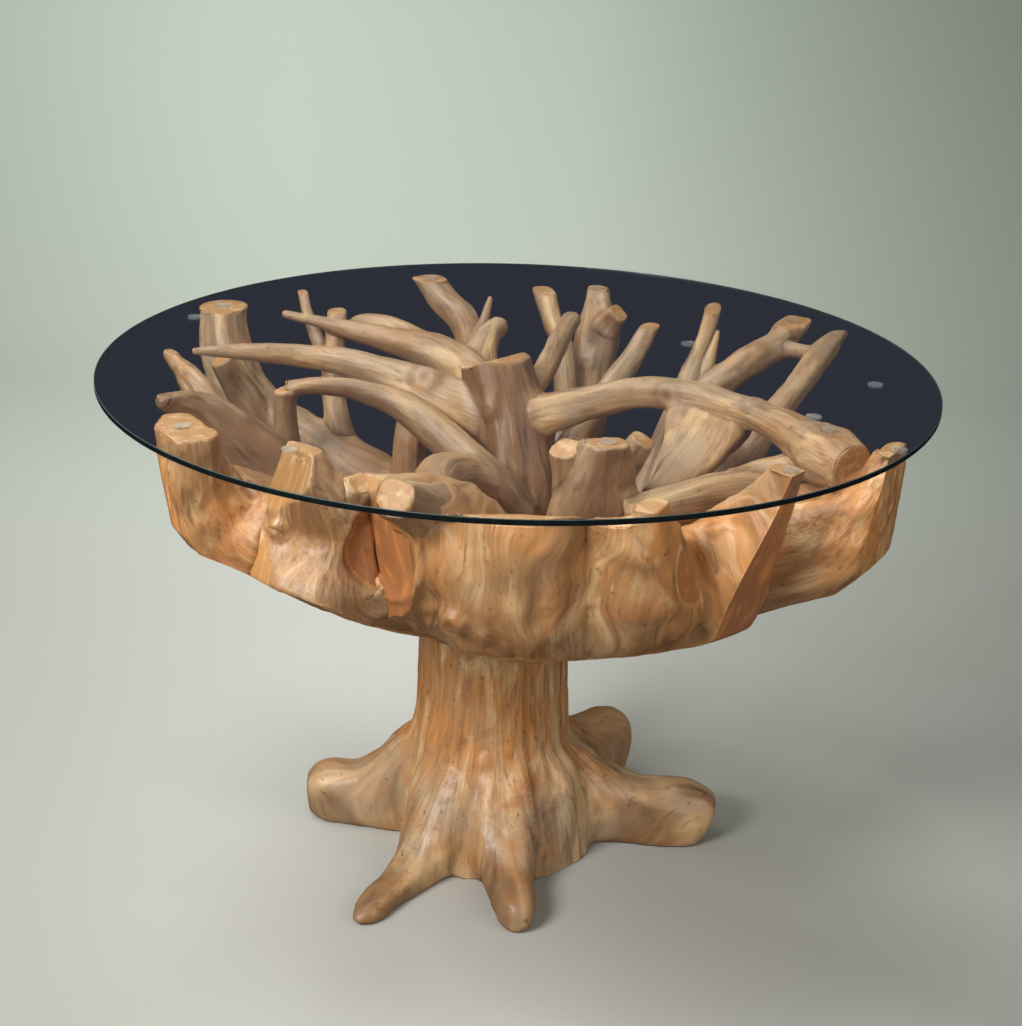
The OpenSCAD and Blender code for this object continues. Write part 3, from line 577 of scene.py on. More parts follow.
# Roots of the crown, each as its name, the power of its superellipse, how it is carved, its tone, and its
# stations: x, y, height above the trunk, half width and half height
ROOTS = (
    ("stem", 2, "RAW", 0.55, (
        (-25, 0, -8, 120, 120), (-24, -2, 40, 134, 132), (-12, -5, 110, 112, 106), (0, -5, 175, 80, 76),
        (4, 5, 230, 60, 58), (-12, 30, 310, 53, 50), (-36, 54, 384, 50, 40))),
    ("slab_left", 4, "FLUSH", 0.62, (
        (-60, -60, 85, 60, 55), (-200, -160, 134, 78, 74), (-320, -232, 180, 92, 90),
        (-408, -286, 244, 82, 88), (-432, -302, 318, 66, 58), (-432, -306, 402, 56, 28))),
    ("slab_right_end", 3, "FLUSH", 0.62, (
        (40, -30, 85, 60, 55), (190, -120, 136, 78, 70), (320, -205, 194, 84, 86), (432, -262, 246, 86, 74),
        (482, -292, 326, 58, 44), (494, -312, 402, 26, 20))),
    ("slab_right", 3, "PROUD", 0.66, (
        (40, -80, 65, 60, 52), (150, -210, 95, 70, 68), (236, -304, 160, 62, 88), (298, -362, 250, 44, 84),
        (334, -388, 334, 24, 50), (344, -398, 402, 15, 26))),
    ("lobe_front_right", 2.6, "PROUD", 0.6, (
        (55, -80, 55, 60, 50), (100, -215, 80, 66, 70), (134, -318, 145, 72, 84), (148, -368, 240, 70, 82),
        (146, -400, 348, 60, 46))),
    ("lobe_front", 2.6, "PROUD", 0.6, (
        (30, -90, 55, 60, 50), (40, -220, 85, 74, 72), (20, -332, 155, 90, 92), (2, -388, 245, 94, 88),
        (-2, -418, 352, 82, 48))),
    ("lobe_front_left", 2.2, "PROUD", 0.62, (
        (-20, -110, 90, 60, 60), (-35, -240, 160, 76, 84), (-104, -346, 250, 74, 94),
        (-180, -414, 284, 64, 80))),
    ("slab_rear_left", 2.8, "RAW", 0.3, (
        (-60, 15, 85, 56, 55), (-200, 60, 140, 52, 78), (-330, 130, 192, 48, 66), (-425, 205, 250, 42, 46),
        (-462, 240, 325, 38, 38), (-474, 285, 402, 38, 34))),
    ("root_horn", 2.2, "FLUSH", 0.34, (
        (-70, -15, 75, 52, 50), (-220, -32, 112, 58, 52), (-340, -42, 175, 52, 54), (-415, -38, 262, 40, 44),
        (-460, -22, 345, 24, 26), (-490, 5, 372, 14, 15), (-513, 30, 386, 6, 7))),
    ("lobe_left", 2.4, "FLUSH", 0.5, (
        (-180, -95, 130, 46, 46), (-290, -125, 205, 46, 56), (-380, -135, 285, 40, 58),
        (-435, -145, 350, 26, 34), (-478, -182, 382, 10, 12))),
    ("block_left", 3.5, "FLUSH", 0.5, (
        (-70, -122, 106, 46, 46), (-160, -245, 142, 74, 70), (-258, -350, 186, 88, 84),
        (-258, -355, 290, 72, 36), (-286, -384, 402, 28, 28))),
    ("slab_rear", 2.4, "FLUSH", 0.35, (
        (-30, 40, 70, 56, 50), (-58, 160, 100, 58, 48), (-75, 280, 160, 46, 42), (-80, 365, 235, 32, 32))),
    ("slab_rear_middle", 2.4, "FLUSH", 0.35, (
        (-5, 40, 75, 56, 50), (22, 160, 100, 60, 48), (60, 255, 150, 52, 46), (95, 325, 212, 40, 38))),
    ("slab_right_rear", 2.4, "FLUSH", 0.35, (
        (40, 10, 70, 56, 50), (150, 40, 100, 56, 46), (240, 72, 145, 46, 40), (300, 95, 195, 34, 32))),
    ("block_front_right", 3.4, "RAW", 0.35, (
        (85, -225, 120, 64, 56), (100, -262, 210, 60, 50), (106, -290, 300, 54, 40),
        (120, -318, 402, 21, 18))),
    ("branch_front_right", 3.5, "PROUD", 0.75, (
        (214, -385, 185, 30, 34), (202, -420, 252, 29, 30), (178, -436, 318, 23, 24),
        (168, -440, 356, 19, 19))),
    ("stub_front_right", 3, "RAW", 0.35, (
        (84, -270, 296, 28, 26), (72, -286, 336, 22, 21), (64, -300, 376, 19, 18))),
    ("stub_front_left", 3, "FLUSH", 0.35, (
        (-236, -352, 286, 32, 30), (-212, -374, 326, 25, 22), (-196, -386, 352, 16, 15))),
    ("ridge_front_left", 3, "FLUSH", 0.35, (
        (-40, -240, 200, 32, 34), (-80, -340, 285, 28, 30), (-125, -428, 342, 28, 26),
        (-144, -474, 370, 25, 20))),
    ("root_hub_left", 2.2, "RAW", 0.35, (
        (-20, -45, 200, 40, 40), (-85, -110, 258, 34, 36), (-112, -190, 270, 32, 34),
        (-98, -280, 262, 26, 28))),
    ("root_ring", 2.4, "RAW", 0.35, (
        (95, -225, 235, 28, 28), (128, -215, 300, 24, 24), (152, -230, 340, 20, 20),
        (168, -238, 370, 15, 16))),
    ("root_sharp_front", 2.2, "RAW", 0.35, (
        (-30, 36, 292, 44, 44), (-100, 48, 318, 36, 38), (-177, 74, 343, 28, 28), (-255, 92, 360, 21, 21),
        (-330, 100, 368, 16, 16), (-416, 78, 377, 10, 10), (-478, 53, 383, 5, 5))),
    ("root_sharp_rear", 2.2, "RAW", 0.35, (
        (-18, 30, 222, 46, 46), (-65, 140, 305, 42, 42), (-120, 185, 345, 32, 31), (-200, 200, 367, 22, 21),
        (-290, 227, 378, 13, 12), (-371, 262, 385, 4, 4))),
    ("stub_blunt", 2.4, "RAW", 0.35, (
        (-62, 135, 300, 32, 32), (-60, 195, 345, 27, 26), (-48, 238, 368, 19, 19), (-31, 266, 374, 15, 15))),
    ("root_hump", 2.2, "RAW", 0.35, (
        (-100, 190, 328, 26, 26), (-180, 246, 360, 26, 22), (-240, 272, 370, 19, 15),
        (-268, 282, 364, 12, 10))),
    ("root_arch", 2.2, "RAW", 0.35, (
        (12, -70, 185, 26, 26), (-45, -66, 250, 26, 26), (-108, -20, 288, 26, 26), (-172, 20, 320, 21, 21),
        (-233, 30, 338, 15, 15), (-290, 24, 345, 12, 12), (-340, 20, 342, 12, 12))),
    ("leg_arch", 2.6, "RAW", 0.35, (
        (-300, 4, 160, 26, 24), (-334, 13, 235, 21, 20), (-342, 16, 290, 19, 17), (-342, 18, 338, 17, 15))),
    ("post_rear_left", 2.4, "RAW", 0.35, (
        (-262, 100, 200, 26, 24), (-275, 130, 245, 20, 20), (-286, 168, 292, 18, 18),
        (-290, 222, 340, 17, 17), (-292, 284, 402, 14, 14))),
    ("stick_rear_left", 2.4, "RAW", 0.35, (
        (-288, 190, 300, 12, 12), (-322, 270, 338, 11, 11), (-348, 345, 368, 9, 9), (-364, 400, 402, 8, 8))),
    ("strut_left", 2.6, "RAW", 0.35, (
        (-375, 140, 190, 26, 26), (-402, 142, 250, 25, 25), (-430, 146, 298, 24, 24),
        (-455, 140, 345, 18, 18))),
    ("root_forked", 2.6, "RAW", 0.35, (
        (-72, 335, 205, 30, 30), (-78, 395, 285, 25, 25), (-95, 432, 335, 24, 22), (-134, 470, 365, 26, 19),
        (-166, 510, 402, 28, 15))),
    ("spike_rear", 2.2, "RAW", 0.35, (
        (-74, 390, 302, 14, 14), (-60, 384, 350, 9, 9), (-51, 400, 384, 4, 4))),
    ("branch_stem", 2.2, "RAW", 0.35, (
        (-12, 36, 330, 22, 22), (28, 88, 345, 18, 18), (52, 170, 360, 16, 17), (68, 250, 372, 16, 16),
        (82, 322, 374, 15, 15))),
    ("post_rear", 2.6, "RAW", 0.35, (
        (68, 235, 140, 42, 38), (104, 312, 210, 42, 38), (118, 365, 278, 38, 34), (128, 404, 334, 35, 30),
        (128, 445, 370, 20, 19), (128, 476, 402, 15, 15))),
    ("stick_tilted", 2.4, "RAW", 0.35, (
        (88, 272, 195, 24, 24), (78, 303, 270, 20, 20), (72, 328, 318, 17, 17), (54, 374, 354, 16, 16),
        (33, 462, 402, 17, 14))),
    ("stub_rear", 3.4, "RAW", 0.35, (
        (126, 390, 315, 24, 24), (146, 385, 350, 19, 20), (162, 374, 374, 16, 15))),
    ("stick_middle", 2.2, "RAW", 0.35, (
        (45, 40, 190, 28, 28), (108, 112, 275, 20, 20), (144, 154, 318, 18, 18), (180, 206, 355, 16, 16),
        (212, 258, 402, 13, 12))),
    ("root_right_rear", 2.4, "RAW", 0.35, (
        (205, 62, 150, 32, 30), (248, 118, 235, 28, 28), (286, 165, 300, 25, 25), (345, 196, 342, 22, 22),
        (410, 248, 368, 25, 19), (450, 324, 402, 22, 16))),
    ("stick_right", 2.2, "RAW", 0.35, (
        (185, 55, 140, 26, 26), (225, 122, 235, 19, 19), (262, 178, 322, 15, 15), (295, 278, 362, 13, 13),
        (321, 398, 402, 13, 12))),
    ("stick_right_small", 2.2, "RAW", 0.35, (
        (284, 180, 312, 13, 13), (298, 204, 355, 9, 9), (310, 238, 384, 5, 5))),
    ("limb_right", 2.8, "RAW", 0.35, (
        (-12, 24, 292, 28, 28), (60, 12, 322, 30, 28), (118, 24, 336, 25, 24), (186, 20, 353, 22, 22),
        (256, -24, 361, 24, 21), (330, -104, 364, 22, 20), (384, -190, 362, 28, 27),
        (412, -238, 360, 38, 36), (440, -278, 354, 31, 31))),
    ("plate_right", 3, "RAW", 0.35, (
        (186, -240, 284, 18, 16), (236, -160, 310, 40, 15), (268, -84, 334, 60, 16),
        (280, -30, 346, 60, 14))),
    ("log_low", 2.8, "RAW", 0.35, (
        (146, -330, 296, 22, 22), (200, -296, 300, 24, 22), (262, -248, 298, 27, 25),
        (330, -205, 290, 24, 24), (372, -232, 280, 20, 20))),
    ("arm_low", 2.6, "RAW", 0.35, (
        (425, -250, 335, 22, 20), (386, -205, 326, 20, 17), (336, -190, 312, 18, 16),
        (296, -208, 302, 16, 15))),
    ("post_diagonal", 2.6, "RAW", 0.35, (
        (242, 62, 142, 28, 28), (318, -4, 245, 25, 25), (368, 30, 305, 21, 21), (415, 88, 340, 18, 18),
        (456, 162, 366, 20, 19), (490, 228, 380, 15, 13), (512, 258, 384, 6, 5))),
    ("bridge_right", 2.2, "RAW", 0.35, (
        (402, 238, 362, 14, 14), (432, 216, 366, 11, 11), (468, 190, 366, 14, 13))),
    ("post_hub_left", 2.4, "RAW", 0.35, (
        (-150, 24, 125, 30, 30), (-160, 34, 205, 25, 24), (-158, 44, 265, 24, 24), (-148, 56, 322, 26, 24))),
)

# Flat saw cuts, each as a point on the cut, above the trunk, and the way that it faces
CUTS = (
    ("slab_left", (-467, -305, 390), (-0.96, 0.05, -0.26)),
    ("slab_right", (350, -404, 385), (0.74, -0.6, -0.3)),
    ("lobe_front_left", (-152, -420, 284), (-0.78, -0.6, -0.12)),
    ("block_left", (-292, -372, 330), (-0.8, -0.5, 0.3)),
    ("branch_front_right", (208, -446, 290), (0.84, -0.5, 0.1)),
    ("lobe_front", (0, -458, 346), (0, 0.6, 0.8)),
    ("lobe_front_right", (148, -440, 344), (-0.1, 0.6, 0.8)),
)

# Cuts whose face is pale wood
PALE_CUTS = ("block_left",)

# Oval scars of a lost branch, each as the middle above the trunk and the half width, depth and height
OVALS = (((-161, -410, 277), (45, 80, 66)),)

# Knots, each as its middle above the trunk, its radius and how far it stands out
KNOTS = (
    ((-138, 40, 357), 21, 6.5), ((-41, -8, 328), 15, 5.0), ((-70, -447, 202), 17, 18.0),
    ((98, -446, 226), 9, 5.0), ((-302, -369, 284), 15, 12.0), ((216, -23, 362), 17, 5.0),
    ((-330, 60, 262), 18, 6.0), ((372, 205, 368), 14, 4.0), ((112, 340, 300), 14, 4.5),
    ((-120, 205, 352), 15, 5.0), ((330, -104, 380), 16, 4.0), ((150, -215, 322), 14, 4.0),
)

# Carved hollows, each as the root, the middle above the trunk, the half lengths along X, Y and Z and the
# depth, which is below 0 for a swelling. A hollow, not a swelling, also gets painted shade
HOLLOWS = (
    ("block_left", (-222, -395, 262), (66, 60, 40), 17),
    ("lobe_front", (30, -474, 235), (16, 40, 75), 8),
    ("lobe_front", (10, -470, 306), (44, 40, 40), -9),
    ("lobe_front_right", (157, -447, 297), (24, 30, 24), -8),
    ("lobe_front_right", (60, -455, 250), (12, 40, 80), 6),
    ("branch_front_right", (222, -425, 275), (30, 60, 60), 6),
    ("strut_left", (-424, 112, 300), (16, 22, 40), 9),
    ("root_right_rear", (433, 240, 376), (18, 24, 14), 9),
    ("stem", (-70, 20, 330), (18, 30, 60), 7),
    ("slab_rear_left", (-440, 188, 330), (20, 30, 60), 6),
)

# Roots given painted shade all over, and how much, which is below 0 for roots given painted light
SHADED = {
    "stem": 0.85, "lobe_left": 0.95, "limb_right": -0.5, "root_arch": 0.42, "root_sharp_front": -0.3,
    "leg_arch": 0.3, "strut_left": 0.3, "block_left": 0.16, "block_front_right": 0.3,
    "ridge_front_left": 0.2, "root_hub_left": 0.15, "post_diagonal": 0.1,
}

# Knots of the stump, with heights above the floor
STUMP_KNOTS = (
    ((-85, -142, 168), 17, 6.0), ((-33, -128, 179), 10, 4.0), ((-83, -164, 139), 11, 4.5),
    ((-46, -110, 291), 9, 3.0), ((40, 150, 210), 16, 6.0), ((-150, 60, 150), 14, 5.0),
)


class Graph:
    """A short way to write a material's nodes."""

    def __init__(self, name: str) -> None:
        """Starts a material with only its output.

        Args:
            name: the material's name.
        """
        self.material = bpy.data.materials.new(name)
        self.material.use_nodes = True
        self.tree = self.material.node_tree
        self.tree.nodes.clear()
        self.output = self.tree.nodes.new("ShaderNodeOutputMaterial")

    def add(self, kind: str, **values: object) -> bpy.types.Node:
        """Adds a node.

        Args:
            kind: its type, without the word that all types start with.
            values: what its settings and inputs of these names take, i and a number for an input that is
                known by its place. A socket is linked.
        Returns:
            the node.
        """
        node = self.tree.nodes.new("ShaderNode" + kind)
        for key, value in values.items():
            if hasattr(node, key):
                setattr(node, key, value)
                continue
            numbered = key[0] == "i" and key[1:].isdigit()
            self._give(node.inputs[int(key[1:]) if numbered else key.replace("_", " ")], value)
        return node

    def _give(self, socket: bpy.types.NodeSocket, value: object) -> None:
        """Links a socket to another, or sets its value.

        Args:
            socket: the input.
            value: an output, or a plain value.
        """
        if isinstance(value, bpy.types.NodeSocket):
            self.tree.links.new(value, socket)
        else:
            socket.default_value = value

    def attribute(self, skin: Skin) -> bpy.types.NodeSocket:
        """The number or vector stored under a skin's name."""
        node = self.add("Attribute", attribute_name=skin.value)
        return node.outputs["Vector" if skin is Skin.GRAIN else "Fac"]

    def swirl(self, where: bpy.types.NodeSocket, scale: tuple[float, float, float], detail: float,
              bend: float = 0.0) -> bpy.types.NodeSocket:
        """Noise on a place.

        Args:
            where: the place.
            scale: swells per metre along each axis.
            detail: number of finer layers.
            bend: how far the noise is distorted.
        Returns:
            the value, about 0.5 on average.
        """
        mapped = self.add("Mapping", Vector=where, Scale=scale)
        node = self.add("TexNoise", Vector=mapped.outputs[0], Scale=1.0, Detail=detail, Roughness=0.55,
                        Distortion=bend)
        return node.outputs["Fac"]

    def ramp(self, value: bpy.types.NodeSocket,
             *stops: tuple[float, tuple[float, ...]]) -> bpy.types.NodeSocket:
        """Colour by a value.

        Args:
            value: a number from 0 to 1.
            stops: places from 0 to 1 and their colours, mixed between them.
        Returns:
            the colour.
        """
        node = self.add("ValToRGB", Fac=value)
        marks = node.color_ramp.elements
        while len(marks) < len(stops):
            marks.new(0.5)
        for mark, (place, colour) in zip(marks, stops):
            mark.position = place
            mark.color = (*colour, 1.0)
        return node.outputs["Color"]

    def grade(self, value: bpy.types.NodeSocket, low: float, high: float, start: float = 0.0,
              end: float = 1.0) -> bpy.types.NodeSocket:
        """Turns the range from low to high into the one from start to end, held outside."""
        return self.add("MapRange", Value=value, i1=low, i2=high, i3=start, i4=end).outputs["Result"]

    def mix(self, share: bpy.types.NodeSocket | float, one: object, two: object,
            way: str = "MIX") -> bpy.types.NodeSocket:
        """Mixes two colours.

        Args:
            share: how much of the second there is.
            one: the first, a socket or a colour.
            two: the second.
            way: how they are mixed.
        Returns:
            the mixed colour.
        """
        node = self.add("Mix", data_type="RGBA", blend_type=way)
        for socket, value in zip((node.inputs[0], node.inputs[6], node.inputs[7]), (share, one, two)):
            self._give(socket, (*value, 1.0) if isinstance(value, tuple) else value)
        return node.outputs[2]

    def sums(self, way: str, one: object, two: object) -> bpy.types.NodeSocket:
        """One step of arithmetic."""
        return self.add("Math", operation=way, i0=one, i1=two).outputs[0]

    def times(self, one: object, two: object) -> bpy.types.NodeSocket:
        """One number times the other."""
        return self.sums("MULTIPLY", one, two)

    def finish(self, shader: bpy.types.Node) -> bpy.types.Material:
        """Links the shader to the output and gives the material back."""
        self.tree.links.new(shader.outputs[0], self.output.inputs["Surface"])
        return self.material


@dataclass(frozen=True)
class TeakFinish:
    """Waxed teak root: grain streaks, clouds of warm and pale wood, painted shade in hollows, sawn faces."""

    name: str = "teak_root"
    dark: tuple[float, float, float] = (0.115, 0.048, 0.018)
    russet: tuple[float, float, float] = (0.30, 0.118, 0.040)
    brown: tuple[float, float, float] = (0.32, 0.145, 0.050)
    warm: tuple[float, float, float] = (0.47, 0.230, 0.076)
    pale: tuple[float, float, float] = (0.70, 0.460, 0.228)
    orange: tuple[float, float, float] = (0.55, 0.210, 0.050)
    grey: tuple[float, float, float] = (0.42, 0.325, 0.212)
    heart: tuple[float, float, float] = (0.36, 0.135, 0.050)

    def build(self) -> bpy.types.Material:
        """Makes the material from the grain, sawn, crease and tone attributes.

        Returns:
            the material.
        """
        g = Graph(self.name)
        grain, tone = g.attribute(Skin.GRAIN), g.attribute(Skin.TONE)
        crease, sawn = g.attribute(Skin.CREASE), g.attribute(Skin.SAWN)
        body = g.add("TexCoord").outputs["Object"]
        streak = g.swirl(grain, (30, 30, 3.6), 6, 0.9)
        fibre = g.swirl(grain, (280, 280, 12), 3)
        base = self._wood(g, grain, body, tone, streak)
        base = self._lines(g, grain, fibre, base)
        # Painted shade from the crease attribute, with its dark knots and joint lines
        base = g.mix(g.grade(crease, 0, 1, 0, 0.88), base, self.dark)
        base = g.mix(g.grade(sawn, 0.2, 0.9, 0, 0.88), base, self._face(g, grain, body, tone))
        height = g.sums("ADD", g.times(fibre, 0.3), g.times(streak, 0.9))
        height = g.sums("ADD", height, g.times(g.swirl(grain, (90, 90, 30), 4), 0.6))
        bump = g.add("Bump", Height=height, Strength=0.6, Distance=0.004)
        rough = g.grade(streak, 0.3, 0.7, 0.50, 0.36)
        return g.finish(g.add("BsdfPrincipled", Base_Color=base, Roughness=rough, Normal=bump.outputs[0],
                              Specular_IOR_Level=0.45))

    def _wood(self, g: Graph, grain: bpy.types.NodeSocket, body: bpy.types.NodeSocket,
              tone: bpy.types.NodeSocket, streak: bpy.types.NodeSocket) -> bpy.types.NodeSocket:
        """Colour of the wood: streaks, grey and orange clouds, russet stains and pale bands.

        Args:
            g: the material's nodes.
            grain: place in straightened wood.
            body: place on the table.
            tone: how warm the root is.
            streak: noise drawn out along the grain.
        Returns:
            the colour.
        """
        base = g.ramp(streak, (0.34, self.brown), (0.46, self.warm), (0.56, self.warm), (0.68, self.pale))
        dull = g.times(g.grade(g.swirl(body, (9, 9, 9), 3), 0.36, 0.56, 0.35, 1), g.grade(tone, 0.75, 0.3))
        base = g.mix(g.times(dull, 0.75), base, self.grey)
        glow = g.times(g.grade(g.swirl(body, (8, 8, 8), 4, 1.2), 0.40, 0.58),
                       g.grade(tone, 0.3, 0.85, 0.10, 0.85))
        base = g.mix(glow, base, self.orange)
        stain = g.times(g.grade(g.swirl(grain, (15, 15, 7), 5, 1.6), 0.54, 0.66),
                        g.grade(tone, 0.3, 0.85, 0.35, 0.8))
        base = g.mix(stain, base, self.russet)
        return g.mix(g.grade(g.swirl(grain, (17, 17, 4.0), 5, 1.8), 0.52, 0.66, 0, 0.75), base, self.pale)

    def _lines(self, g: Graph, grain: bpy.types.NodeSocket, fibre: bpy.types.NodeSocket,
               base: bpy.types.NodeSocket) -> bpy.types.NodeSocket:
        """Adds dark veins, specks and fine fibres to a colour.

        Args:
            g: the material's nodes.
            grain: place in straightened wood.
            fibre: the finest noise along the grain.
            base: the colour.
        Returns:
            the colour with them.
        """
        base = g.mix(g.grade(g.swirl(grain, (60, 60, 5), 5, 1.4), 0.57, 0.70, 0, 0.6), base, self.dark)
        base = g.mix(g.grade(g.swirl(grain, (170, 170, 70), 3, 0.6), 0.62, 0.70, 0, 0.55), base, self.dark)
        threads = g.ramp(fibre, (0.25, (0.60, 0.55, 0.52)), (0.62, (1.14, 1.12, 1.10)))
        return g.mix(0.55, base, threads, "MULTIPLY")

    def _face(self, g: Graph, grain: bpy.types.NodeSocket, body: bpy.types.NodeSocket,
              tone: bpy.types.NodeSocket) -> bpy.types.NodeSocket:
        """Colour of a sawn face: pale rings, or patches of heartwood where the tone is full.

        Args:
            g: the material's nodes.
            grain: place in straightened wood.
            body: place on the table.
            tone: how warm the root is.
        Returns:
            the colour.
        """
        turned = g.add("Mapping", Vector=grain, Scale=(1, 1, 0.05)).outputs[0]
        rings = g.add("TexNoise", Vector=turned, Scale=60.0, Detail=3.0, Distortion=0.6).outputs["Fac"]
        face = g.ramp(rings, (0.32, self.warm), (0.5, self.warm), (0.68, self.pale))
        patch = g.ramp(g.swirl(body, (26, 26, 14), 4, 1.4),
                       (0.34, self.russet), (0.5, self.heart), (0.66, self.orange))
        return g.mix(g.grade(tone, 0.92, 0.99), face, patch)


@dataclass(frozen=True)
class PlainFinish:
    """A small part's finish: one colour with a fine speckle, and its own roughness."""

    name: str
    colour: tuple[float, float, float]
    other: tuple[float, float, float]
    roughness: float
    metallic: float = 0.0
    scale: float = 400.0

    def build(self) -> bpy.types.Material:
        """Makes the material on object coordinates.

        Returns:
            the material.
        """
        g = Graph(self.name)
        body = g.add("TexCoord").outputs["Object"]
        speck = g.swirl(body, (self.scale,) * 3, 4)
        colour = g.ramp(speck, (0.35, self.colour), (0.65, self.other))
        bump = g.add("Bump", Height=speck, Strength=0.3, Distance=0.0006)
        return g.finish(g.add("BsdfPrincipled", Base_Color=colour, Roughness=self.roughness,
                              Metallic=self.metallic, Normal=bump.outputs[0]))


@dataclass(frozen=True)
class GlassFinish:
    """Clear float glass. Light for what lies below passes straight through it."""

    name: str = "clear_glass"
    tint: tuple[float, float, float] = (0.985, 0.99, 0.99)

    def build(self) -> bpy.types.Material:
        """Makes refracting glass that lets shadow and diffuse rays through.

        Returns:
            the material.
        """
        g = Graph(self.name)
        pane = g.add("BsdfGlass", Color=(*self.tint, 1.0), Roughness=0.0, IOR=1.5)
        open_way = g.add("BsdfTransparent", Color=(0.97, 0.98, 0.975, 1.0))
        path = g.add("LightPath")
        let = g.sums("MAXIMUM", path.outputs["Is Shadow Ray"], path.outputs["Is Diffuse Ray"])
        return g.finish(g.add("MixShader", i0=let, i1=pane.outputs[0], i2=open_way.outputs[0]))


@dataclass(frozen=True)
class ClearFinish:
    """Soft clear plastic: mostly see-through, with a pale gloss."""

    name: str = "clear_disc"

    def build(self) -> bpy.types.Material:
        """Mixes a little glossy white into a see-through shader.

        Returns:
            the material.
        """
        g = Graph(self.name)
        skin = g.add("BsdfPrincipled", Base_Color=(0.75, 0.79, 0.80, 1.0), Roughness=0.12)
        see = g.add("BsdfTransparent", Color=(0.93, 0.95, 0.95, 1.0))
        return g.finish(g.add("MixShader", i0=0.10, i1=see.outputs[0], i2=skin.outputs[0]))


@dataclass
class Crown:
    """The bowl-shaped crown of roots, dowelled together over the trunk."""

    # Fillet between two roots: its width, as a share of the thinner one and some more, its limit and strength
    blend: tuple[float, float] = (0.55, 4.0)
    widest: float = 26.0
    raised: float = 0.6
    # The same between two carved roots
    carved_blend: float = 0.8
    carved_widest: float = 42.0
    carved_raised: float = 0.9
    # How deep the skin sinks in an earlier root, and the dark line between the two: its half width, and its
    # shade on raw roots and on carved ones
    sink_most: float = 11.0
    line: float = 5.0
    line_dark: tuple[float, float] = (0.65, 0.35)
    # Saw cuts: the arris, and the depths over which it fades in. A cut that faces up more than hollowed is
    # carved wood, without heartwood
    saw_worn: float = 3.0
    saw_fade: tuple[float, float] = (-12.0, -5.0)
    hollowed: float = 0.5
    # Grain: the radius on which the fan's bearing becomes a length, the stretch along the fan, its swells as
    # millimetres and radians, and how far apart two roots lie
    fan_r: float = 300.0
    fan_long: float = 2.1
    waver: tuple[tuple[float, float], ...] = ((130.0, 0.07), (42.0, 0.01))
    apart: float = 531.0
    # Length of the skin's swells, twice across the grain and along it, and of those that ignore the grain
    flute: tuple[float, ...] = (26.0, 26.0, 190.0)
    swell: tuple[float, ...] = (60.0, 60.0, 85.0)
    fine: tuple[float, ...] = (9.0, 9.0, 50.0)
    lump: float = 55.0
    # Oval scars: height, place and width of the rim, and how far the face lies back
    rim: tuple[float, float, float] = (4.5, 1.06, 0.11)
    sunk: float = 3.0
    # Heights between which the painted shade low inside the crown fades out, and the most painted shade
    dim: tuple[float, float] = (150.0, 330.0)
    dim_most: float = 0.82
    roots: list[Root] = field(default_factory=list)

    def shape(self) -> None:
        """Builds each root, lets it run into its neighbours, and carves the underside."""
        self.roots = [Root(name, square, Carve[carve], tone, stations)
                      for name, square, carve, tone, stations in ROOTS]
        reaches = [Reach(r) for r in self.roots]
        bowl = Bowl()
        for i, root in enumerate(self.roots):
            root.build()
            self._join(i, root, reaches)
            self._saw(root)
            if root.carve is not Carve.RAW:
                root.points, root.marks["carved"] = bowl.clamp(root.points, root.carve.value)
            self._weather(i, root)

    def _join(self, i: int, root: Root, reaches: list[Reach]) -> None:
        """Raises a fillet where another root is near, and sinks what lies inside an earlier root.

        The fillet's height at a distance d is (k - |d|) squared over 4k within k of the other skin.

        Args:
            i: number of the root.
            root: the root.
            reaches: the reach of each root, in order.
        """
        normals = root.normals()
        for j, other in enumerate(reaches):
            if j == i:
                continue
            thin = min(other.girth, reaches[i].girth)
            both = root.carve is not Carve.RAW and self.roots[j].carve is not Carve.RAW
            share, more = self.blend
            k = min(share * thin + more, self.widest)
            if both:
                k = min(self.carved_blend * thin, self.carved_widest)
            for _ in range(2):
                pick = other.near(root.points, k)
                if not len(pick):
                    break
                gap = other.gap(root.points[pick])
                fillet = np.where(np.abs(gap) < k, (k - np.abs(gap)) ** 2 / (4 * k), 0)
                rise = fillet * (self.carved_raised if both else self.raised)
                if j < i:
                    rise = rise - np.clip(-0.6 * gap, 0, self.sink_most) * 0.5
                root.points[pick] += normals[pick] * rise[:, None]
            if len(pick):
                shade = np.exp(-(gap / self.line) ** 2) * self.line_dark[both]
                root.marks["crease"][pick] = np.maximum(root.marks["crease"][pick], shade)

    def _saw(self, root: Root) -> None:
        """Presses what lies beyond a flat saw cut onto its plane, with a worn arris, and marks the face.

        A point moves by half the sum of its depth and the root of depth squared plus the arris squared.

        Args:
            root: the root.
        """
        for name, at, way in CUTS:
            if name != root.name:
                continue
            facing = unit(np.array(way, float))
            depth = (root.points - np.array(at, float) - [0, 0, CROWN_Z]) @ facing
            push = 0.5 * (depth + np.sqrt(depth ** 2 + self.saw_worn ** 2)) * ease(depth, *self.saw_fade)
            root.points = root.points - push[:, None] * facing
            if way[2] < self.hollowed:
                mark = "sawn" if name in PALE_CUTS else "heart"
                root.marks[mark] = np.maximum(root.marks[mark], ease(depth, -1, 3))

    def _grain(self, i: int, root: Root) -> np.ndarray:
        """Place of each point in straightened wood, in mm.

        It runs along the root, or, on the proud lobes, fans out from the middle of the bowl: the cosine and
        the sine of the bearing, times a fixed radius, and the distance from the middle.

        Args:
            i: number of the root.
            root: the root.
        Returns:
            the places, shape (n, 3).
        """
        if root.carve is not Carve.PROUD:
            return root.marks["place"] + self.apart * (i + 1)
        own = root.points - [BOWL_AT[0], BOWL_AT[1], CROWN_Z]
        x, y, z = own.T
        bearing = np.arctan2(y, x)
        for span, turn in self.waver:
            bearing = bearing + turn * noise.folds(own / span, 2)
        along = self.fan_long * np.hypot(np.hypot(x, y), z)
        return np.column_stack([self.fan_r * np.cos(bearing), self.fan_r * np.sin(bearing), along])

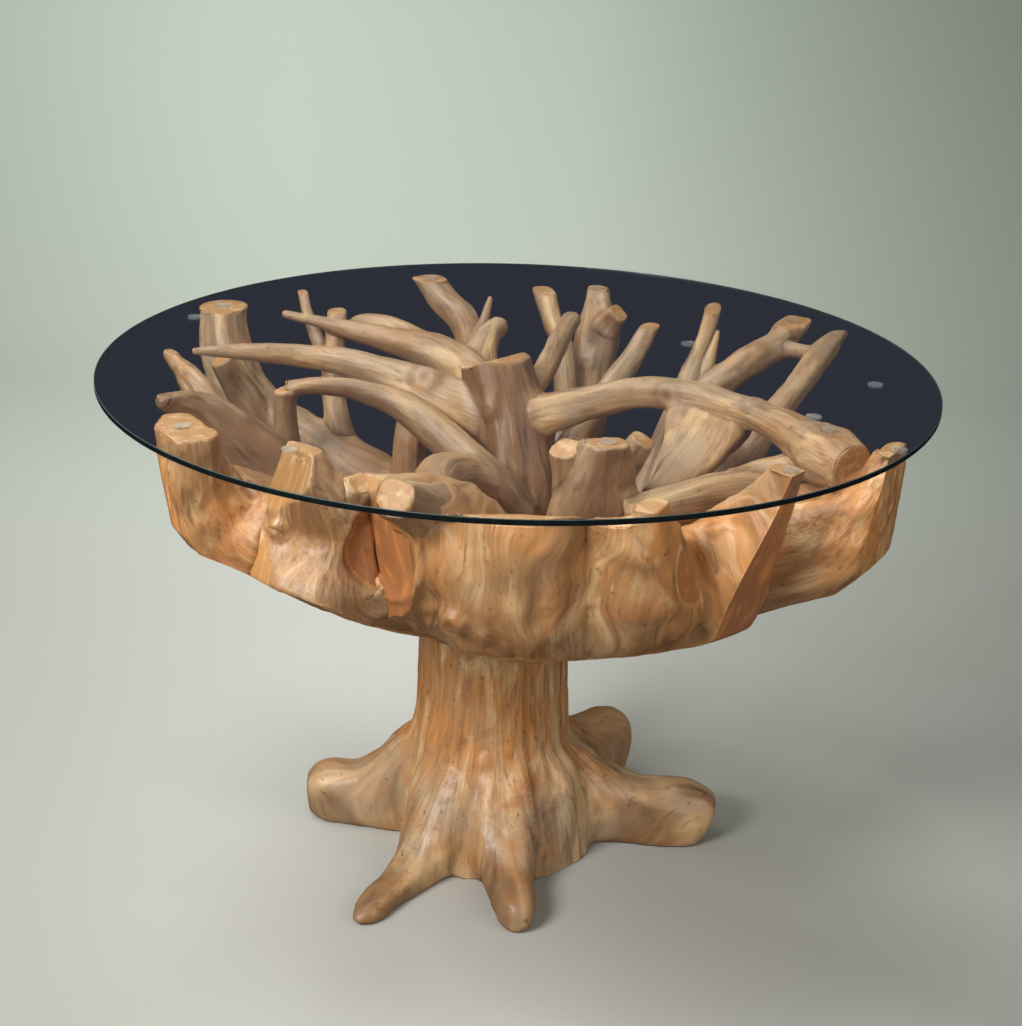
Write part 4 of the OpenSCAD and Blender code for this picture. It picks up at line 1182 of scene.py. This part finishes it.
    def _weather(self, i: int, root: Root) -> None:
        """Adds long flutes, swells and fine unevenness along the grain, and keeps the sawn planes flat.

        Each is a sum of noises in straightened wood, and a point moves along its normal by all of them
        together. Carved faces and thin roots have less.

        Args:
            i: number of the root.
            root: the root.
        """
        place = self._grain(i, root)
        girth = float(root.path.stations[:, 3:].mean())
        size = min(girth / 30.0, 1.6)
        flat = 1 - 0.85 * np.maximum(root.marks["sawn"], root.marks["heart"])
        flute = noise.swells(place, self.flute, 3)
        swell = noise.swells(place, self.swell, 2)
        fine = noise.swells(place, self.fine, 2)
        lump = noise.folds(root.points / self.lump, 2)
        carved = root.marks["carved"]
        lift = size * (2.4 * flute * (1 - 0.8 * carved) + 2.8 * swell * (1 - 0.75 * carved))
        lift = (lift + 0.5 * fine + 1.8 * lump * (1 - 0.6 * carved)) * flat
        # Painted shade in the grooves of the flutes
        root.marks["crease"] = np.clip(root.marks["crease"] + 0.35 * ease(-flute, 0.12, 0.5), 0, 1)
        lift = self._scars(root, lift)
        root.points = root.points + root.normals() * lift[:, None]
        z = root.points[:, 2]
        root.points[:, 2] = np.clip(z, CROWN_Z + 0.3, SEAT_Z)

    def _scars(self, root: Root, lift: np.ndarray) -> np.ndarray:
        """Adds knots, oval scars and carved hollows, and marks them dark or as heartwood. The dark of a
        hollow is painted shade.

        An oval's rim is its height times e to the minus square of the distance from its place in widths.

        Args:
            root: the root.
            lift: how far each point is to be moved.
        Returns:
            the same, with them.
        """
        points = root.points - [0, 0, CROWN_Z]
        for at, radius, high in KNOTS:
            rise, dark = knot(points, at, radius, high)
            lift = lift + rise
            root.marks["crease"] = np.maximum(root.marks["crease"], dark)
        high, edge, wide = self.rim
        for at, half in OVALS:
            out, front = oval(points, at, half)
            root.marks["heart"] = np.maximum(root.marks["heart"], front * ease(1 - out, -0.02, 0.08))
            rim = high * np.exp(-((out - edge) / wide) ** 2)
            lift = lift + front * (rim - self.sunk * ease(1 - out, 0, 0.3))
        for name, at, half, deep in HOLLOWS:
            if name == root.name:
                sunk = hollow(points, at, half, deep)
                lift = lift - sunk
                if deep > 0:
                    # Painted shade in the hollow
                    dark = 0.72 * ease(sunk, 0.2 * deep, 0.9 * deep)
                    root.marks["crease"] = np.maximum(root.marks["crease"], dark)
        return lift

    def dress(self, material: bpy.types.Material) -> None:
        """Puts each root into the scene over its CAD node.

        What lies under other wood or low in the crown is painted darker as painted shade. The roots
        in SHADED get more painted shade, or painted light where their number is below 0. The carved faces
        are painted warmer.

        Args:
            material: the wood.
        """
        for i, root in enumerate(self.roots):
            quads, tris = root.faces()
            obj = mesh_object("wood_" + root.name, root.points, [quads, tris])
            up, inside = root.normals()[:, 2], 1 - root.marks["carved"]
            # Painted shade, kept in worn: darker on uncarved faces that look down and low in the crown
            deep = 1 - ease(root.points[:, 2] - CROWN_Z, *self.dim)
            worn = inside * np.maximum(0.62 * ease(-up, -0.6, 0.6), 0.5 * deep)
            # More painted shade on the roots in SHADED, less where they face up; painted light below 0
            worn = worn + SHADED.get(root.name, 0.0) * (1 - 0.4 * ease(up, 0.3, 0.9))
            worn = np.clip(worn, 0, self.dim_most)
            paint(obj, Skin.GRAIN, self._grain(i, root) * MM)
            paint(obj, Skin.SAWN, np.maximum(root.marks["sawn"], root.marks["heart"]))
            paint(obj, Skin.CREASE, np.maximum(root.marks["crease"], worn))
            tone = np.clip(root.tone + 0.3 * root.marks["carved"] - 0.1 * inside * ease(up, 0, 0.9), 0, 0.9)
            paint(obj, Skin.TONE, np.maximum(tone, root.marks["heart"]))
            obj.data.materials.append(material)
            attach(obj, "base")
            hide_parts(root.name)
            log.info("%s: %d points", obj.name, len(root.points))


@dataclass
class Stump:
    """The upturned stump: a trunk that spreads into six feet, as one skin."""

    # Foot of the trunk, off its top, and the radii at its foot, waist and top
    base_off: tuple[float, float] = (14.0, -32.0)
    foot_r: float = 152.0
    waist_r: float = 116.0
    top_r: float = 112.0
    # Feet: where they leave the trunk, how far the toe is rounded and the instep is widened, and each foot's
    # bearing, reach, width and height
    foot_rise: float = 175.0
    toe: float = 28.0
    flare: float = 12.0
    feet: tuple[tuple[float, float, float, float], ...] = (
        (178, 291, 80, 84), (-121, 353, 46, 34), (-81, 322, 48, 56), (-5, 352, 82, 90), (40, 280, 76, 120),
        (108, 285, 66, 74))
    # Skin: size of the remesh, strength and number of the smoothing steps, and length of the swells, for the
    # flutes twice across the grain and along it
    voxel: float = 4.0
    smooth: tuple[float, int] = (0.8, 14)
    flute: tuple[float, ...] = (30.0, 30.0, 330.0)
    swell: float = 70.0
    fine: float = 16.0
    # Heights between which the painted shade near the floor fades out
    low: tuple[float, float] = (90.0, 190.0)

    def _limbs(self) -> list[Root]:
        """The trunk and the feet, each on stations from the middle outwards or from the floor up.

        Returns:
            them as roots.
        """
        x, y = self.base_off
        trunk = ((x, y, -20, self.foot_r), (x, 0.8 * y, 60, self.foot_r - 6), (0, -6, 140, self.waist_r + 12),
                 (0, 0, 220, self.waist_r), (0, 0, CROWN_Z + 20, self.top_r))
        rows = [tuple((TRUNK_X + a, b, z, r, r) for a, b, z, r in trunk)]
        for bearing, reach, wide, high in self.feet:
            c, s = math.cos(math.radians(bearing)), math.sin(math.radians(bearing))
            w, h = wide / 2, high / 2
            mid = 0.55 * self.waist_r + 0.45 * reach
            foot = ((30, self.foot_rise, 66, 62), (self.waist_r - 8, 0.4 * self.foot_rise, 66, 80),
                    (mid, 0.7 * h + 4, w + self.flare, h + 1.3 * self.flare),
                    (reach - self.toe, 0.8 * h, w + 2, 1.2 * h), (reach, 0.7 * h, 0.6 * w, 0.62 * h))
            rows.append(tuple((TRUNK_X + c * r, s * r, z, a, b) for r, z, a, b in foot))
        lowered = [tuple((a, b, z - CROWN_Z, w, h) for a, b, z, w, h in row) for row in rows]
        return [Root("limb", 2.6 if k else 2.0, Carve.RAW, 0.6, row, 5.0) for k, row in enumerate(lowered)]

    def shape(self) -> bpy.types.Object:
        """Joins trunk and feet into one skin by a fine remesh, then flutes it along its own grain.

        Grain runs down the trunk and out along each foot. Its place is the cosine and the sine of the
        angle round the trunk, times the trunk's radius, and the height less the distance out.

        Returns:
            the object of the skin.
        """
        points, quads, tris, base = [], [], [], 0
        for limb in self._limbs():
            limb.build()
            q, t = limb.faces()
            points.append(limb.points)
            quads.append(q + base)
            tris.append(t + base)
            base += len(limb.points)
        obj = mesh_object("wood_stump", np.concatenate(points), quads + tris)
        remesh = obj.modifiers.new("skin", "REMESH")
        remesh.mode = "VOXEL"
        remesh.voxel_size = self.voxel * MM
        smooth = obj.modifiers.new("worn", "SMOOTH")
        smooth.factor, smooth.iterations = self.smooth
        done = bpy.data.meshes.new_from_object(obj.evaluated_get(bpy.context.evaluated_depsgraph_get()))
        obj.modifiers.clear()
        obj.data = done
        done.name = obj.name
        done.polygons.foreach_set("use_smooth", np.ones(len(done.polygons), bool))
        self._flute(obj)
        return obj

    def _flute(self, obj: bpy.types.Object) -> None:
        """Moves the skin's points along their normals by long flutes and swells, and stores the grain.

        Args:
            obj: the stump's object.
        """
        n = len(obj.data.vertices)
        flat = np.zeros(n * 3, np.float32)
        obj.data.vertices.foreach_get("co", flat)
        p = flat.reshape(-1, 3).astype(float) / MM
        obj.data.vertices.foreach_get("normal", flat)
        normal = flat.reshape(-1, 3).astype(float)
        x, y = p[:, 0] - TRUNK_X, p[:, 1]
        radius = np.hypot(x, y)
        turn = np.stack([x, y], 1) / np.maximum(radius, 1)[:, None]
        along = p[:, 2] - np.maximum(radius - self.top_r, 0)
        place = np.column_stack([turn * self.top_r, along])
        flute = noise.swells(place, self.flute, 3, 3.7)
        swell = noise.folds(p / self.swell + 9.1, 2)
        fine = noise.folds(p / self.fine, 2)
        # Painted shade in the grooves of the flutes; knots add their dark ends
        lift, dark = 5.0 * flute + 4.0 * swell + 0.7 * fine, 0.5 * ease(-flute, 0.1, 0.5)
        for at, radius, high in STUMP_KNOTS:
            rise, shade = knot(p * [1, 1, 0.75], (at[0], at[1], 0.75 * at[2]), radius, high)
            lift, dark = lift + rise, np.maximum(dark, shade)
        p = p + normal * lift[:, None]
        p[:, 2] = np.clip(p[:, 2], PAD_T, CROWN_Z)
        obj.data.vertices.foreach_set("co", (p * MM).astype(np.float32).reshape(-1))
        obj.data.update()
        paint(obj, Skin.GRAIN, place * MM)
        paint(obj, Skin.SAWN, np.zeros(n))
        # Painted shade: darker and less warm towards the floor, and deeper in the grooves there
        low = 1 - ease(p[:, 2], *self.low)
        paint(obj, Skin.CREASE, np.clip(dark * (0.35 + 0.65 * low) + 0.15 * low, 0, 1))
        paint(obj, Skin.TONE, np.clip(0.66 - 0.34 * low + 0.3 * swell, 0, 1))

    def dress(self, material: bpy.types.Material) -> None:
        """Puts the stump into the scene over its CAD node.

        Args:
            material: the wood.
        """
        obj = self.shape()
        obj.data.materials.clear()
        obj.data.materials.append(material)
        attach(obj, "base")
        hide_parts("foot_stump")
        log.info("%s: %d points", obj.name, len(obj.data.vertices))


@dataclass
class GlassTop:
    """The round pane, turned from its own profile, with ground arrises."""

    radius: float = 599.8
    top: float = 760.0
    thick: float = 8.0
    arris: float = 0.8
    steps: int = 256

    FINISH_OF_ROW = (0, 2, 1, 2, 0)     # clear underside, arris, edge, arris and clear top

    def dress(self) -> None:
        """Makes the pane in three finishes: clear faces, dark edge and ground arrises.

        The pane is a profile of distance from the axis and height, turned round in equal steps.
        """
        r, z, b, low = self.radius, self.top, self.arris, self.top - self.thick
        profile = np.array([(r * 0.5, low), (r - b, low), (r, low + b), (r, z - b), (r - b, z), (r * 0.5, z)])
        angle = 2 * np.pi * np.arange(self.steps) / self.steps
        out, height = profile[:, 0, None], profile[:, 1, None]
        ring = np.broadcast_arrays(out * np.cos(angle), out * np.sin(angle), height)
        poles = np.array([(0, 0, low), (0, 0, z)])
        points = np.concatenate([np.stack(ring, -1).reshape(-1, 3), poles])
        obj = mesh_object("glass_pane", points, list(tube_faces(len(profile), self.steps)))
        which = np.concatenate([np.repeat(self.FINISH_OF_ROW, self.steps), np.zeros(2 * self.steps, int)])
        obj.data.polygons.foreach_set("material_index", which.astype(np.int32))
        obj.data.polygons.foreach_set("use_smooth", np.zeros(len(which), bool))
        obj.data.update()
        finishes = (GlassFinish(),
                    PlainFinish("glass_edge", (0.003, 0.005, 0.005), (0.006, 0.009, 0.009), 0.25, scale=60),
                    PlainFinish("ground_arris", (0.03, 0.05, 0.05), (0.06, 0.09, 0.085), 0.3, scale=200))
        for finish in finishes:
            obj.data.materials.append(finish.build())
        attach(obj, "glass")
        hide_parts("glass_top")
        log.info("%s: %d points", obj.name, len(points))


@dataclass(frozen=True)
class SmallParts:
    """Discs, pads, rods and dowels, which keep their CAD shape."""

    def dress(self) -> None:
        """Gives each carried-over node its finish."""
        clear = ClearFinish()
        finishes = {
            "spare_discs": clear, "bearing_discs": clear,
            "floor_pads": PlainFinish("felt", (0.10, 0.10, 0.10), (0.17, 0.165, 0.16), 0.95),
            "crown_rods": PlainFinish("steel", (0.55, 0.55, 0.56), (0.66, 0.66, 0.67), 0.3, 1.0),
            "root_dowels": PlainFinish("dowel_wood", (0.55, 0.38, 0.22), (0.66, 0.48, 0.30), 0.6, scale=150),
        }
        made = {finish.name: finish.build() for finish in finishes.values()}
        for node, finish in finishes.items():
            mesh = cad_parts[node].data
            mesh.materials.clear()
            mesh.materials.append(made[finish.name])
            log.info("%s: %s", node, finish.name)


@dataclass
class Studio:
    """Pale floor that sweeps up into a plain wall, soft lamps, and the camera of the photograph."""

    eye: tuple[float, float, float] = (0.0, -2.5, 1.5261)
    pitch: float = 21.761
    yaw: float = -0.104
    roll: float = 1.839
    focal_px: float = 1803.1
    picture: tuple[int, int] = (1022, 1026)
    film_mm: float = 36.0
    half: float = 9.0           # half the width of the floor, and the height of the wall, in metres
    floor_end: float = 2.2      # where the floor starts to bend, and the radius of the bend
    bend_r: float = 1.6
    night: tuple[float, float, float] = (0.027, 0.029, 0.041)       # dark that glass and gloss mirror
    # Colour of the painted shadow and of the painted shade near the left
    shadow: tuple[float, float, float] = (0.20, 0.19, 0.165)        # soft patches on the floor
    # Colour of the painted shade in the far right corner
    corner_shade: tuple[float, float, float] = (0.20, 0.225, 0.185)

    def camera(self) -> None:
        """Sets the camera from its bearing: forward, right and up are turned by yaw, pitch and roll."""
        p, y, r = (math.radians(v) for v in (self.pitch, self.yaw, self.roll))
        forward = np.array([math.sin(y) * math.cos(p), math.cos(y) * math.cos(p), -math.sin(p)])
        right = unit(np.cross(forward, [0, 0, 1.0]))
        up = np.cross(right, forward)
        across = right * math.cos(r) + up * math.sin(r)
        above = -right * math.sin(r) + up * math.cos(r)
        data = bpy.data.cameras.new("view")
        data.lens = self.focal_px * self.film_mm / max(self.picture)
        data.sensor_width = self.film_mm
        data.clip_end = 50
        obj = bpy.data.objects.new("view", data)
        obj.matrix_world = placed(across, above, -forward, self.eye)
        bpy.context.scene.collection.objects.link(obj)
        bpy.context.scene.camera = obj

    def backdrop(self) -> None:
        """A floor that bends up into a wall, as one surface of width times a bent line."""
        x = np.linspace(-self.half, self.half, 24)
        bend = np.linspace(0, np.pi / 2, 14)[1:]
        floor = np.linspace(-self.half, self.floor_end, 24)
        wall = np.linspace(self.bend_r, self.half, 9)[1:]
        y = np.concatenate([floor, self.floor_end + self.bend_r * np.sin(bend),
                            np.full(len(wall), self.floor_end + self.bend_r)])
        z = np.concatenate([np.zeros(len(floor)), self.bend_r * (1 - np.cos(bend)), wall])
        grid = np.stack(np.broadcast_arrays(x[None], y[:, None], z[:, None]), -1) / MM
        rows, cols = grid.shape[:2]
        base = (np.arange(rows - 1)[:, None] * cols + np.arange(cols - 1)).reshape(-1)
        quads = np.stack([base, base + 1, base + 1 + cols, base + cols], 1)
        obj = mesh_object("studio_floor", grid.reshape(-1, 3), [quads])
        g = Graph("studio_floor")
        plain = g.add("BsdfDiffuse", Color=self._ground(g))
        night = g.add("Emission", Color=(*self.night, 1.0), Strength=1.0)
        path = g.add("LightPath")
        unlit = g.sums("MAXIMUM", path.outputs["Is Transmission Ray"], path.outputs["Is Glossy Ray"])
        mixed = g.add("MixShader", i0=unlit, i1=plain.outputs[0], i2=night.outputs[0])
        obj.data.materials.append(g.finish(mixed))

    def _ground(self, g: Graph) -> bpy.types.NodeSocket:
        """Colour of floor and wall: by depth, by bearing from the camera, and three soft patches.

        Depth is the distance back plus 0.9 of the height. The bearing darkens both sides as painted shade.
        Two patches, each the product of two slopes, are painted shade, and one, which falls with the square
        of the distance from the foot of the table, is a painted shadow.

        Args:
            g: the material's nodes.
        Returns:
            the colour.
        """
        split = g.add("SeparateXYZ", Vector=g.add("TexCoord").outputs["Object"]).outputs
        depth = g.sums("ADD", split[1], g.times(split[2], 0.9))
        colour = g.ramp(g.grade(depth, -1.5, 5.0), (0.0, (0.52, 0.515, 0.48)), (0.30, (0.53, 0.53, 0.495)),
                        (0.55, (0.56, 0.60, 0.535)), (1.0, (0.66, 0.76, 0.65)))
        aside = g.sums("DIVIDE", split[0], g.sums("ADD", split[1], 2.9))
        # Painted shade to the left and, deeper, to the right
        shade = g.ramp(g.grade(aside, -0.3, 0.3), (0.0, (0.76, 0.76, 0.75)), (0.3, (0.96, 0.96, 0.95)),
                       (0.55, (1.0, 0.99, 0.98)), (0.8, (0.74, 0.74, 0.725)), (1.0, (0.55, 0.55, 0.535)))
        ground = g.mix(1.0, colour, shade, "MULTIPLY")
        # Painted shade in the far right corner
        corner = g.times(g.grade(depth, 2.0, 4.6), g.grade(aside, -0.16, 0.28))
        ground = g.mix(g.times(corner, 0.75), ground, self.corner_shade)
        # Painted shade on the near floor to the left
        near_left = g.times(g.grade(depth, 1.4, -0.6), g.grade(aside, 0.06, -0.24))
        ground = g.mix(g.times(near_left, 0.42), ground, self.shadow)
        # Painted shadow of the table, round a spot right of its foot
        across, along = (g.times(g.sums("SUBTRACT", split[k], at), 2.2) for k, at in ((0, 0.30), (1, -0.16)))
        off = g.sums("ADD", g.times(across, across), g.times(along, along))
        return g.mix(g.grade(off, 0.0, 1.0, 0.55, 0.0), ground, self.shadow)

    def lamp(self, name: str, place: tuple[float, float, float], size: float, power: float,
             aim: tuple[float, float, float] = (0, 0, 0.4)) -> None:
        """A square soft lamp.

        Args:
            name: its name.
            place: where it stands, in metres.
            size: its width.
            power: its strength in watts.
            aim: the place that it faces.
        """
        data = bpy.data.lights.new(name, "AREA")
        data.shape, data.size, data.energy = "SQUARE", size, power
        obj = bpy.data.objects.new(name, data)
        back = unit(np.array(place) - np.array(aim))
        side = unit(np.cross([0, 0, 1.0], back))
        obj.matrix_world = placed(side, np.cross(back, side), back, place)
        bpy.context.scene.collection.objects.link(obj)

    def light(self) -> None:
        """A broad lamp from the left, a weak one from the right, and an even sky."""
        self.lamp("left_front", (-2.2, -2.5, 2.8), 1.4, 168)
        self.lamp("right_fill", (2.7, -2.6, 2.4), 2.4, 46)
        self.lamp("overhead", (-0.9, 0.5, 3.6), 1.6, 92)
        world = bpy.data.worlds.new("studio")
        bpy.context.scene.world = world
        world.use_nodes = True
        tree = world.node_tree
        tree.nodes.clear()
        sky, night = (tree.nodes.new("ShaderNodeBackground") for _ in range(2))
        sky.inputs["Color"].default_value = (0.62, 0.64, 0.62, 1)
        sky.inputs["Strength"].default_value = 0.37
        night.inputs["Color"].default_value = (*self.night, 1)
        path, mix = tree.nodes.new("ShaderNodeLightPath"), tree.nodes.new("ShaderNodeMixShader")
        unlit = tree.nodes.new("ShaderNodeMath")
        unlit.operation = "MAXIMUM"
        tree.links.new(path.outputs["Is Transmission Ray"], unlit.inputs[0])
        tree.links.new(path.outputs["Is Glossy Ray"], unlit.inputs[1])
        tree.links.new(unlit.outputs[0], mix.inputs[0])
        tree.links.new(sky.outputs[0], mix.inputs[1])
        tree.links.new(night.outputs[0], mix.inputs[2])
        out = tree.nodes.new("ShaderNodeOutputWorld")
        tree.links.new(mix.outputs[0], out.inputs[0])


def main() -> None:
    """Builds the table and its studio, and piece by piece."""
    logging.basicConfig(level=logging.INFO, format="%(name)s %(message)s")
    teak = TeakFinish().build()
    crown = Crown()
    crown.shape()
    crown.dress(teak)
    Stump().dress(teak)
    GlassTop().dress()
    SmallParts().dress()
    studio = Studio()
    studio.backdrop()
    studio.light()
    studio.camera()
    bpy.context.scene.view_settings.view_transform = "Standard"


if __name__ == "__main__":
    main()
